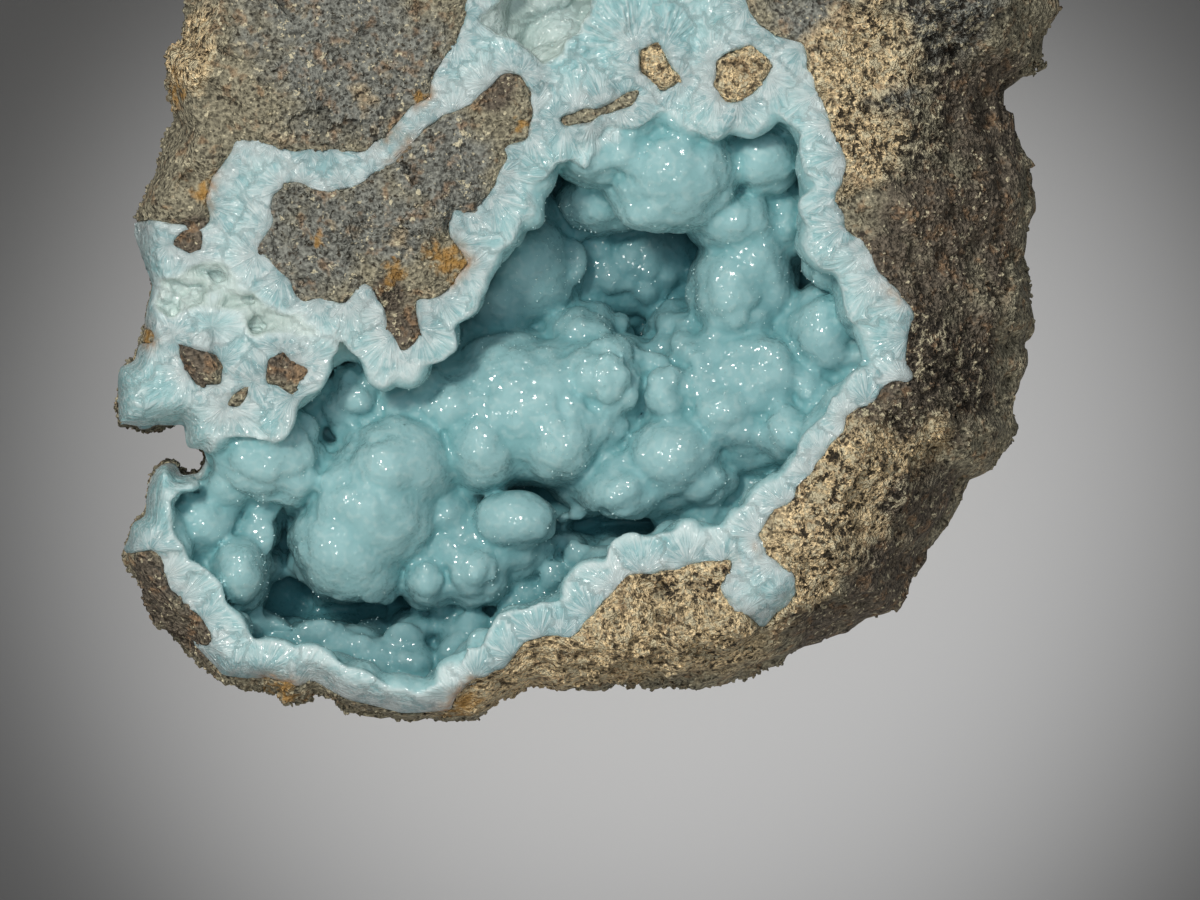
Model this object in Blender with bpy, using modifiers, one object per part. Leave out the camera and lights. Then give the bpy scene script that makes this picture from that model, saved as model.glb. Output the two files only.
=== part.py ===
"""A hand specimen of hemimorphite: a broken piece of speckled rock, lying on its flat back, whose large
hollow is lined with one blue-green crust of rounded lumps.

Metres, +Z up. X runs to the right across the broken face, Y up the face and Z out of it, so the
hollow opens upward. The sizes below are millimetres.
"""

import math

import bmesh
import bpy
from mathutils import Matrix, Vector, noise

MM = 0.001

# The whole piece
FACE_HEIGHT = 32.5  # from the flat back to the middle of the broken face
FACE_SLOPE = 0.06  # the face rises this much a millimetre towards the top
BASE_INSET = 8.0  # the flat back starts this far in from the outline
BASE_RISE = 9.5  # and the side meets it this far up
SEAT = 0.9  # what lies lower than this is worn flat
ROUGHNESS = 0.75  # how far the broken rock goes in and out
ROUGH_SIZE = 6.5  # and how far apart its ledges are
FINER_LEDGES = 2.3  # smaller ledges lie this many times closer
FINER_SHARE = 0.5  # and go in and out by this share
ROUGH_FROM = 6.0  # the side is fully rough from this height up
FLAT_UNDER = 0.5  # what starts lower than this stays in the flat back
FALL_POWER = 1.6  # how sharply the flanks turn down
GAP = 0.35  # between the rock and the crust
DEEP_GAPS = 2.0  # deep in the pocket the gap is this many times wider

# The crust
CRUST = 4.0  # thickness where it has no lumps
VEIN_FLOOR = 23.0  # the veins at the face go down to this height
VEIN_SLOPE = 0.12
HOLLOW_FLOOR = 19.0  # the rim of the hollow goes straight down to here
SMALL_RIM = 1.0  # the rims of the small hollows go this far below the middle of their pockets
ABOVE_FACE = 46.0  # cutters end here, clear of the face
SHARPEST = 0.5  # keeps a sharp corner of an outline from moving too far

# Colours and how matt they are
ROCK_COLOUR = (0.20, 0.15, 0.10)
ROCK_ROUGHNESS = 0.9
CRUST_COLOUR = (0.30, 0.52, 0.52)
CRUST_ROUGHNESS = 0.3

# How finely each shape is drawn
BODY_CELL = 1.7
BLOB_CELL = 1.1
LUMP_CELL = 0.8
BODY_TRIANGLES = 2400
POCKET_TRIANGLES = 700
HOLLOW_TRIANGLES = 620
LUMP_TRIANGLES = 3000

# Outline of the piece, seen from the front, clockwise from the upper left
OUTLINE = (
    (-39.2, 26.1), (-40.3, 22.0), (-42.1, 20.9), (-42.2, 18.1), (-41.1, 13.6), (-42.2, 11.1),
    (-43.7, 7.6), (-44.7, 4.9), (-44.6, 2.1), (-43.8, -2.4), (-44.4, -6.9), (-45.2, -9.9),
    (-46.6, -10.7), (-47.4, -16.6), (-44.7, -17.0), (-40.7, -16.4), (-39.9, -18.7), (-38.7, -19.1),
    (-39.3, -21.1), (-40.9, -21.1), (-41.7, -20.2), (-42.7, -20.1), (-43.5, -20.9), (-44.4, -23.1),
    (-44.4, -25.4), (-45.7, -26.4), (-46.4, -28.9), (-46.2, -30.4), (-42.7, -35.9), (-40.2, -38.4),
    (-36.9, -42.1), (-34.2, -42.5), (-31.2, -43.1), (-30.4, -43.8), (-28.7, -43.5), (-27.5, -42.8),
    (-24.2, -44.6), (-18.7, -46.1), (-11.7, -45.7), (-8.7, -43.7), (-5.7, -42.3), (-2.7, -42.7),
    (1.3, -41.9), (5.3, -41.7), (9.3, -42.5), (17.3, -41.4), (21.3, -39.4), (24.3, -37.9),
    (28.3, -36.1), (30.8, -35.7), (31.8, -33.9), (33.0, -30.5), (35.5, -27.2), (39.0, -22.4),
    (41.6, -21.0), (43.5, -17.1), (42.9, -14.6), (44.3, -10.6), (44.4, -8.1), (45.6, -6.6),
    (45.4, -3.9), (44.3, 0.4), (45.4, 5.4), (44.9, 9.3), (43.5, 11.7), (42.6, 17.4),
    (46.2, 20.4), (47.5, 26.1), (46.0, 33.0), (39.5, 38.5), (29.0, 42.6), (18.0, 45.2),
    (5.0, 46.4), (-9.0, 45.4), (-21.0, 42.2), (-31.5, 37.6), (-37.0, 32.0),
)

# How the face falls off towards the outline: direction in degrees, width of the fall, its drop
FLANKS = (
    (0, 14.0, 18.5), (35, 12.0, 15.0), (65, 9.0, 12.0), (90, 8.0, 10.0), (125, 5.0, 7.0),
    (150, 3.5, 4.5), (180, 2.0, 3.0), (215, 2.5, 4.0), (250, 3.5, 6.0), (275, 4.5, 8.0),
    (300, 7.5, 14.0), (325, 12.0, 17.5),
)

# Swells of the broken face: centre x, y, reach, height
SWELLS = (
    (-24.0, 14.0, 17.0, 2.2), (27.0, 4.0, 10.0, 1.6), (-40.0, -33.0, 12.0, -3.2),
    (-22.0, -42.0, 12.0, -1.8), (10.0, -37.0, 10.0, -0.8), (24.0, -20.0, 9.0, 0.8),
)

# Where the crust meets the rock on the face, right round the hollow and its veins
CRUST_EDGE = (
    (-50.0, 3.5), (-42.0, 3.8), (-39.0, 3.4), (-37.5, 4.0), (-37.8, 6.2), (-37.2, 8.2),
    (-35.4, 10.2), (-35.0, 11.6), (-32.4, 12.0), (-28.6, 11.0), (-22.2, 11.0), (-19.6, 12.4),
    (-17.6, 14.8), (-15.8, 16.2), (-15.6, 18.6), (-14.0, 20.8), (-12.8, 22.6), (-12.0, 25.0),
    (-9.6, 28.6), (-6.0, 31.6), (0.0, 33.0), (6.5, 32.6), (11.6, 30.0), (14.6, 27.0), (16.0, 25.0),
    (18.0, 23.0), (21.2, 21.2), (22.4, 18.6), (23.8, 15.0), (25.2, 12.0), (25.6, 9.4), (25.1, 6.0),
    (25.8, 3.2), (27.4, 2.0), (28.2, -0.2), (29.8, -2.8), (31.8, -4.0), (32.7, -5.6), (31.8, -8.4),
    (32.2, -11.6), (30.4, -12.4), (27.8, -14.2), (26.0, -15.4), (25.6, -17.2), (23.4, -19.4),
    (21.6, -21.6), (20.6, -23.6), (18.6, -25.2), (17.4, -27.4), (17.8, -29.4), (20.2, -31.2),
    (20.6, -33.2), (17.6, -36.6), (14.8, -34.8), (13.6, -32.6), (14.2, -30.2), (11.6, -30.2),
    (9.0, -30.4), (6.0, -31.2), (4.0, -31.4), (2.4, -33.2), (0.4, -35.6), (-1.8, -37.6),
    (-4.4, -37.4), (-6.4, -38.8), (-8.6, -40.6), (-11.4, -41.9), (-13.0, -43.6), (-15.4, -50.0),
    (-29.0, -50.3), (-29.4, -42.2), (-32.0, -41.7), (-35.4, -41.8), (-37.6, -44.1), (-48.0, -44.6),
    (-44.2, -37.6), (-40.0, -37.9), (-38.2, -38.9), (-37.2, -38.2), (-38.8, -35.6), (-41.6, -32.8),
    (-42.8, -30.4), (-43.6, -28.8), (-46.0, -29.4), (-50.0, -28.6),
)

# Rock that stands in the crust as islands: the large clast with its tongue, then small ones
CLASTS = (
    (
        (-6.6, 18.6), (-5.2, 16.8), (-6.2, 12.2), (-8.2, 11.2), (-7.6, 10.2), (-8.6, 8.6),
        (-9.6, 6.4), (-11.2, 4.8), (-13.4, 5.2), (-13.6, 2.4), (-11.4, -0.2), (-13.0, -2.0),
        (-15.0, -3.6), (-16.8, -4.0), (-16.8, -7.0), (-18.4, -8.8), (-19.8, -6.8), (-20.2, -4.6),
        (-22.2, -2.4), (-24.4, -4.2), (-28.2, -3.8), (-31.0, -1.0), (-33.4, 1.0), (-31.6, 3.8),
        (-31.4, 6.4), (-29.6, 7.8), (-25.6, 7.2), (-21.8, 8.2), (-19.0, 9.8), (-16.6, 13.4),
        (-13.4, 14.8), (-10.2, 17.4), (-8.2, 18.8),
    ),
    (
        (-41.4, -7.4), (-37.4, -6.6), (-37.6, -8.6), (-36.2, -10.6), (-36.8, -12.2),
        (-39.0, -12.2), (-40.6, -9.8),
    ),
    ((-30.2, -8.6), (-28.0, -11.2), (-29.4, -13.6), (-32.0, -12.2), (-32.0, -9.8)),
    ((4.8, 21.4), (7.0, 21.6), (9.6, 18.4), (7.6, 17.2), (5.4, 18.6)),
    ((12.6, 20.0), (16.4, 21.4), (18.8, 19.4), (17.0, 17.0), (13.8, 15.4), (12.4, 17.4)),
)

# Edge of the large hollow on the face, then of the two small ones
HOLLOW_EDGE = (
    (-39.4, -18.6), (-37.6, -18.4), (-33.4, -17.2), (-31.4, -18.6), (-29.0, -14.6), (-26.6, -11.6),
    (-24.4, -8.4), (-22.4, -10.4), (-20.2, -11.7), (-17.6, -11.6), (-15.6, -10.0), (-13.4, -8.4),
    (-13.0, -6.0), (-11.4, -4.0), (-10.0, -1.0), (-7.4, 1.8), (-6.6, 3.6), (-5.2, 4.6),
    (-4.8, 7.0), (-3.0, 10.1), (0.0, 8.6), (3.4, 12.0), (8.0, 14.0), (12.4, 12.4), (15.0, 13.4),
    (19.2, 14.0), (20.9, 12.4), (21.8, 8.0), (21.8, 1.8), (23.2, -1.2), (25.4, -3.6), (26.0, -6.2),
    (28.4, -8.4), (29.0, -10.4), (26.6, -11.8), (24.4, -13.6), (22.2, -16.8), (20.4, -20.4),
    (18.4, -22.6), (15.2, -24.2), (13.6, -26.8), (12.4, -27.2), (9.4, -26.4), (6.2, -27.4),
    (2.0, -28.8), (-0.2, -30.6), (-2.2, -33.2), (-4.0, -34.4), (-8.6, -36.0), (-10.6, -37.8),
    (-12.4, -39.8), (-15.0, -41.0), (-17.4, -42.0), (-20.8, -42.2), (-22.4, -41.0), (-25.4, -39.8),
    (-28.8, -38.7), (-33.8, -38.5), (-35.0, -36.0), (-36.6, -33.6), (-38.8, -31.2), (-41.2, -27.6),
    (-41.6, -23.6), (-40.0, -22.4), (-41.0, -20.0),
)
SMALL_HOLLOWS = (
    ((-9.0, 22.4), (-6.4, 21.4), (-2.8, 20.6), (-0.6, 22.4), (0.8, 27.4), (-4.0, 29.4), (-8.4, 26.6)),
    ((-41.4, -2.2), (-38.6, -2.0), (-33.2, -1.6), (-32.6, -4.0), (-35.0, -6.0), (-39.4, -5.0)),
)

# The pocket in the rock: centre x, y, z, then half width, half height, half depth
POCKET = (
    (-18.7, -26.4, 17.0, 21.0, 15.5, 10.5), (1.3, -14.4, 17.0, 21.5, 15.0, 10.5),
    (11.3, -2.4, 17.0, 17.0, 16.5, 10.5), (6.3, 7.0, 18.0, 14.0, 9.5, 10.0),
    (21.0, -12.4, 18.0, 10.0, 10.5, 10.0), (-34.6, -24.4, 18.0, 7.0, 8.0, 9.0),
    (-8.7, -0.9, 17.0, 9.5, 9.5, 10.5),
)
SMALL_POCKETS = ((-3.8, 25.4, 31.0, 8.5, 7.5, 10.0), (-37.0, -4.0, 30.0, 6.0, 5.5, 8.0))

# The lumps of the crust: centre x, y, height of the top, then half width, half height, half depth
LUMPS = (
    # Under the top rim
    (8.3, 9.1, 33.5, 6.6, 5.8, 9.0), (2.0, 11.5, 33.0, 5.5, 3.8, 8.0), (6.5, 5.6, 31.0, 3.6, 2.6, 5.0),
    (17.6, 10.4, 29.0, 3.8, 3.6, 8.0), (1.8, 6.2, 24.0, 4.5, 3.2, 7.0),
    # Right wall
    (14.5, 4.3, 27.0, 4.6, 3.2, 7.0), (14.6, -2.6, 26.0, 4.2, 5.4, 9.0), (20.5, 4.0, 24.0, 2.6, 4.2, 7.0),
    (20.3, -6.0, 22.0, 3.2, 2.6, 7.0), (24.0, -7.2, 26.5, 3.8, 4.8, 8.0),
    (27.0, -9.5, 25.0, 2.6, 2.8, 6.0),
    (18.0, -11.2, 26.0, 4.2, 4.4, 8.0), (22.5, -13.0, 25.0, 3.2, 3.4, 7.0),
    (13.8, -15.2, 26.5, 4.2, 4.0, 8.0), (11.0, -9.0, 22.0, 4.2, 3.8, 8.0),
    (9.5, -6.6, 19.0, 3.2, 2.8, 6.0),
    (20.2, -17.2, 27.0, 3.2, 2.9, 7.0), (17.5, -20.5, 20.0, 3.4, 2.8, 7.0),
    # Right of the middle
    (8.4, -19.6, 28.0, 5.2, 4.6, 10.0), (7.8, -13.2, 26.0, 3.0, 3.8, 9.0),
    (3.4, -23.0, 27.0, 4.6, 3.4, 9.0),
    (11.0, -22.0, 25.0, 4.2, 2.9, 8.0), (12.5, -25.4, 21.5, 4.0, 2.6, 7.0),
    # The middle cluster
    (-2.9, -17.8, 29.0, 4.9, 4.9, 10.0), (-10.4, -18.5, 28.5, 4.4, 4.8, 10.0),
    (-13.5, -14.5, 27.0, 4.2, 3.8, 9.0), (-7.2, -11.2, 26.5, 6.0, 4.6, 10.0),
    (1.6, -12.0, 26.0, 5.4, 5.0, 10.0),
    (-0.7, -7.4, 23.0, 4.4, 3.0, 8.0), (1.3, -17.0, 24.0, 3.8, 4.2, 9.0),
    (-7.3, -25.7, 26.0, 4.0, 2.7, 3.4), (-4.8, -27.0, 22.5, 4.6, 3.6, 8.0),
    # Lower left
    (-16.0, -31.9, 24.5, 3.2, 3.2, 8.0), (-11.5, -31.0, 25.0, 3.8, 3.8, 8.0),
    (-9.0, -28.6, 22.5, 4.4, 3.4, 8.0),
    (-19.5, -20.5, 28.5, 5.4, 4.4, 10.0), (-23.0, -26.5, 29.0, 6.6, 6.0, 11.0),
    (-23.2, -31.5, 26.0, 4.8, 3.8, 9.0), (-15.0, -25.2, 24.0, 4.8, 4.6, 9.0),
    (-23.4, -13.9, 25.0, 4.4, 4.0, 8.0),
    (-15.8, -10.4, 21.0, 4.4, 3.4, 7.0),
    # Left wall
    (-33.0, -19.3, 27.0, 6.0, 5.0, 8.0), (-30.8, -22.4, 25.0, 3.8, 3.0, 7.0),
    (-35.3, -31.4, 27.0, 3.1, 4.1, 9.0),
    (-39.0, -26.2, 25.0, 4.6, 4.0, 7.0), (-33.5, -25.4, 19.0, 5.4, 3.8, 7.0),
    # Floor under the bottom rim
    (-31.5, -37.0, 15.5, 4.4, 3.0, 6.0), (-18.0, -40.3, 20.0, 3.0, 2.4, 7.0),
    (-23.2, -38.2, 17.5, 4.4, 3.4, 7.0),
    (-17.2, -37.0, 18.0, 3.4, 2.4, 7.0), (-13.0, -36.8, 19.0, 3.8, 3.8, 8.0),
    (-5.0, -32.5, 20.0, 6.0, 3.2, 8.0),
    (0.0, -30.2, 20.5, 4.4, 2.8, 7.0),
    # Back wall
    (-6.0, -0.6, 23.0, 5.4, 6.6, 10.0), (-8.3, -3.7, 22.0, 4.4, 4.4, 9.0),
    (5.2, 0.6, 14.0, 4.4, 3.8, 5.0),
    (0.8, 1.6, 13.0, 3.6, 3.4, 4.5), (7.4, -3.4, 13.5, 3.8, 3.4, 5.0),
    # The two small hollows
    (-36.0, -2.4, 30.0, 2.8, 1.6, 4.0), (-39.0, -4.2, 27.5, 2.6, 2.2, 3.5),
    (-5.4, 26.4, 30.0, 2.8, 2.4, 3.6),
    (-2.0, 23.4, 29.0, 2.2, 2.2, 3.2),
)


def clear_scene():
    for found in list(bpy.data.objects):
        bpy.data.objects.remove(found, do_unlink=True)


def new_collection(name, hidden=False):
    made = bpy.data.collections.new(name)
    made.hide_render = hidden
    bpy.context.scene.collection.children.link(made)
    return made


def new_object(name, mesh, collection):
    made = bpy.data.objects.new(name, mesh)
    collection.objects.link(made)
    return made


def stone(name, colour, roughness):
    """A plain mineral surface."""
    made = bpy.data.materials.new(name)
    made.use_nodes = True
    shader = made.node_tree.nodes["Principled BSDF"]
    shader.inputs["Base Color"].default_value = (*colour, 1.0)
    shader.inputs["Roughness"].default_value = roughness
    shader.inputs["Metallic"].default_value = 0.0
    made.diffuse_color = (*colour, 1.0)
    return made


def settled(obj):
    """Puts the shape that the modifiers make in place of the mesh."""
    graph = bpy.context.evaluated_depsgraph_get()
    graph.update()
    mesh = bpy.data.meshes.new_from_object(obj.evaluated_get(graph))
    obj.modifiers.clear()
    obj.data = mesh
    return obj


def prism(name, outlines, low, high, collection):
    """An outline, with its holes, drawn out from one height to another."""
    curve = bpy.data.curves.new(name, "CURVE")
    curve.dimensions = "2D"
    curve.fill_mode = "BOTH"
    curve.extrude = (high - low) / 2 * MM
    for points in outlines:
        spline = curve.splines.new("POLY")
        spline.points.add(len(points) - 1)
        spline.use_cyclic_u = True
        for point, (x, y) in zip(spline.points, points):
            point.co = (x * MM, y * MM, 0.0, 1.0)
    drawn = new_object(name + "_outline", curve, collection)
    graph = bpy.context.evaluated_depsgraph_get()
    mesh = bpy.data.meshes.new_from_object(drawn.evaluated_get(graph))
    bpy.data.objects.remove(drawn)
    shape = bmesh.new()
    shape.from_mesh(mesh)
    bmesh.ops.translate(shape, verts=shape.verts, vec=(0.0, 0.0, (low + high) / 2 * MM))
    bmesh.ops.remove_doubles(shape, verts=shape.verts, dist=1e-6)
    bmesh.ops.recalc_face_normals(shape, faces=shape.faces)
    shape.to_mesh(mesh)
    shape.free()
    return new_object(name, mesh, collection)


def blobs(name, places, shrink, collection):
    """Ellipsoids, still loose from one another."""
    shape = bmesh.new()
    for x, y, z, *halves in places:
        sizes = [(half - shrink) * MM for half in halves]
        place = Matrix.LocRotScale(Vector((x, y, z)) * MM, None, Vector(sizes))
        bmesh.ops.create_icosphere(shape, subdivisions=4, radius=1.0, matrix=place)
    mesh = bpy.data.meshes.new(name)
    shape.to_mesh(mesh)
    shape.free()
    return new_object(name, mesh, collection)


def remesh(obj, cell):
    """Joins what overlaps into one closed skin."""
    change = obj.modifiers.new("skin", "REMESH")
    change.mode = "VOXEL"
    change.voxel_size = cell * MM
    return settled(obj)


def thin_out(obj, triangles):
    change = obj.modifiers.new("fewer", "DECIMATE")
    obj.data.calc_loop_triangles()
    change.ratio = min(1.0, triangles / len(obj.data.loop_triangles))
    return settled(obj)


def combine(obj, other, operation):
    change = obj.modifiers.new(operation.lower(), "BOOLEAN")
    change.operation = operation
    change.solver = "EXACT"
    change.object = other
    return change


def distance_to_outline(x, y):
    """How far inside the outline a point of the face is."""
    here = Vector((x, y))
    nearest = math.inf
    for start, end in zip(OUTLINE, OUTLINE[1:] + OUTLINE[:1]):
        side = Vector(end) - Vector(start)
        along = (here - Vector(start)).dot(side) / side.length_squared
        closest = Vector(start) + side * max(0.0, min(1.0, along))
        nearest = min(nearest, (here - closest).length)
    return nearest


def flank(x, y):
    """Width and drop of the fall-off in the direction of a point."""
    direction = math.degrees(math.atan2(y, x)) % 360
    for first, second in zip(FLANKS, FLANKS[1:] + ((360, *FLANKS[0][1:]),)):
        if first[0] <= direction <= second[0]:
            share = (direction - first[0]) / (second[0] - first[0])
            width = first[1] + share * (second[1] - first[1])
            return width, first[2] + share * (second[2] - first[2])
    return FLANKS[0][1:]


def face_height(x, y, inside):
    height = FACE_HEIGHT + FACE_SLOPE * y
    for centre_x, centre_y, reach, rise in SWELLS:
        height += rise * math.exp(-((x - centre_x) ** 2 + (y - centre_y) ** 2) / reach**2)
    width, drop = flank(x, y)
    return height - drop * max(0.0, 1.0 - inside / width) ** FALL_POWER


def back_height(inside):
    return BASE_RISE * max(0.0, 1.0 - inside / BASE_INSET) ** 2


def broken_rock(collection):
    """The whole piece with no hollow: flat back, sloping flanks, rough all round."""
    body = prism("body", [OUTLINE], 0.0, FACE_HEIGHT, collection)
    remesh(body, BODY_CELL)
    for vertex in body.data.vertices:
        x, y, z = vertex.co / MM
        inside = distance_to_outline(x, y)
        low, high = back_height(inside), face_height(x, y, inside)
        vertex.co.z = (low + (high - low) * z / FACE_HEIGHT) * MM
    body.data.update()
    normals = [vertex.normal.copy() for vertex in body.data.vertices]
    for vertex, normal in zip(body.data.vertices, normals):
        place = vertex.co / MM
        if place.z < FLAT_UNDER:
            vertex.co.z = 0.0
            continue
        ledge = noise.noise(place / ROUGH_SIZE) + FINER_SHARE * noise.noise(place * FINER_LEDGES / ROUGH_SIZE)
        moved = place + normal * ROUGHNESS * ledge * min(1.0, place.z / ROUGH_FROM)
        vertex.co = Vector((moved.x, moved.y, max(moved.z, 0.0))) * MM
    thin_out(body, BODY_TRIANGLES)
    for vertex in body.data.vertices:
        if vertex.co.z < SEAT * MM:
            vertex.co.z = 0.0
    return body


def moved_edge(points, distance):
    """An outline drawn this far inside itself."""
    corners = [Vector(point) for point in points]
    area = sum(a.cross(b) for a, b in zip(corners, corners[1:] + corners[:1]))
    turn = 1.0 if area > 0 else -1.0
    moved = []
    for number, corner in enumerate(corners):
        before = (corner - corners[number - 1]).normalized()
        after = (corners[(number + 1) % len(corners)] - corner).normalized()
        inward = Vector((-before.y - after.y, before.x + after.x)).normalized() * turn
        reach = distance / max(SHARPEST, inward.dot(Vector((-before.y, before.x)) * turn))
        moved.append(tuple(corner + inward * reach))
    return moved


def pocket(name, inset, collection):
    """What isn't rock: the veins at the face with the pocket below them."""
    edges = [moved_edge(CRUST_EDGE, inset)] + [moved_edge(clast, -inset) for clast in CLASTS]
    floor = VEIN_FLOOR + inset
    veins = prism(name, edges, floor, ABOVE_FACE, collection)
    for vertex in veins.data.vertices:
        if vertex.co.z < FACE_HEIGHT * MM:
            vertex.co.z += VEIN_SLOPE * vertex.co.y
    deep = blobs(name + "_deep", POCKET + SMALL_POCKETS, DEEP_GAPS * inset, collection)
    remesh(deep, BLOB_CELL)
    thin_out(deep, POCKET_TRIANGLES)
    combine(veins, deep, "UNION")
    settled(veins)
    bpy.data.objects.remove(deep)
    return veins


def lump_place(x, y, top, wide, high, deep):
    return (x, y, top - deep, wide, high, deep)


def hollow(collection):
    """The air in the pocket: open at the face, with the lumps left standing in it."""
    air = prism("hollow", [HOLLOW_EDGE], HOLLOW_FLOOR, ABOVE_FACE, collection)
    deep = blobs("hollow_deep", POCKET, CRUST, collection)
    remesh(deep, BLOB_CELL)
    thin_out(deep, HOLLOW_TRIANGLES)
    combine(air, deep, "UNION")
    settled(air)
    for number, edge in enumerate(SMALL_HOLLOWS):
        place = SMALL_POCKETS[number]
        small = prism(f"small_hollow_{number}", [edge], place[2] - SMALL_RIM, ABOVE_FACE, collection)
        combine(air, small, "UNION")
        settled(air)
        bpy.data.objects.remove(small)
    lumps = blobs("lumps", [lump_place(*lump) for lump in LUMPS], 0.0, collection)
    remesh(lumps, LUMP_CELL)
    thin_out(lumps, LUMP_TRIANGLES)
    combine(air, lumps, "DIFFERENCE")
    settled(air)
    for helper in (deep, lumps):
        bpy.data.objects.remove(helper)
    return air


def keep_main_shell(obj):
    """Drops the crumbs and sealed pores that the cuts leave beside the main piece."""
    shape = bmesh.new()
    shape.from_mesh(obj.data)
    shape.verts.ensure_lookup_table()
    unseen = set(shape.verts)
    shells = []
    while unseen:
        front = [unseen.pop()]
        shell = set(front)
        while front:
            vertex = front.pop()
            for edge in vertex.link_edges:
                other = edge.other_vert(vertex)
                if other in unseen:
                    unseen.discard(other)
                    shell.add(other)
                    front.append(other)
        shells.append(shell)
    shells.sort(key=len)
    loose = [vertex for shell in shells[:-1] for vertex in shell]
    bmesh.ops.delete(shape, geom=loose, context="VERTS")
    shape.to_mesh(obj.data)
    shape.free()


def matrix_rock(body, cutter, collection):
    rock = new_object("matrix_rock", body.data.copy(), collection)
    combine(rock, cutter, "DIFFERENCE")
    settled(rock)
    keep_main_shell(rock)
    return rock


def hemimorphite_crust(body, lining, air, collection):
    crust = new_object("hemimorphite_crust", lining.data.copy(), collection)
    combine(crust, body, "INTERSECT")
    combine(crust, air, "DIFFERENCE")
    settled(crust)
    keep_main_shell(crust)
    return crust


def paint(obj, material):
    obj.data.materials.clear()
    obj.data.materials.append(material)


def main():
    clear_scene()
    specimen = new_collection("hemimorphite")
    cutters = new_collection("cutters", hidden=True)
    body = broken_rock(cutters)
    rock_cutter = pocket("pocket", 0.0, cutters)
    lining = pocket("lining", GAP, cutters)
    air = hollow(cutters)
    rock = matrix_rock(body, rock_cutter, specimen)
    crust = hemimorphite_crust(body, lining, air, specimen)
    paint(rock, stone("speckled_rock", ROCK_COLOUR, ROCK_ROUGHNESS))
    paint(crust, stone("blue_green_hemimorphite", CRUST_COLOUR, CRUST_ROUGHNESS))
    for helper in cutters.objects:
        helper.display_type = "WIRE"
        helper.hide_render = True


main()
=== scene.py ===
import math

import bmesh
import bpy
import numpy as np
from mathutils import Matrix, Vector


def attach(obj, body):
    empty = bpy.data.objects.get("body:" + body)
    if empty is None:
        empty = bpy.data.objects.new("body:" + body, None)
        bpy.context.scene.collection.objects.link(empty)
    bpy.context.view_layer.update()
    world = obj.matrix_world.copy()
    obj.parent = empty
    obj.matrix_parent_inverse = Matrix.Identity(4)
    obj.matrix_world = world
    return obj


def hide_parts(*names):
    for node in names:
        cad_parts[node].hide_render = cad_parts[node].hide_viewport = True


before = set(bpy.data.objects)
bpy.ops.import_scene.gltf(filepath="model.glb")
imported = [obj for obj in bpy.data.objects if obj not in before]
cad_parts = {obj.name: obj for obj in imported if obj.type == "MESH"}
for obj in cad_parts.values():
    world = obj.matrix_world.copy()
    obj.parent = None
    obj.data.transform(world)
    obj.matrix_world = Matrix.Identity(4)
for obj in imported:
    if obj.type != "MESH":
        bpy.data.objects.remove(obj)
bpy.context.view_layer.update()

mm = 0.001

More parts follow.
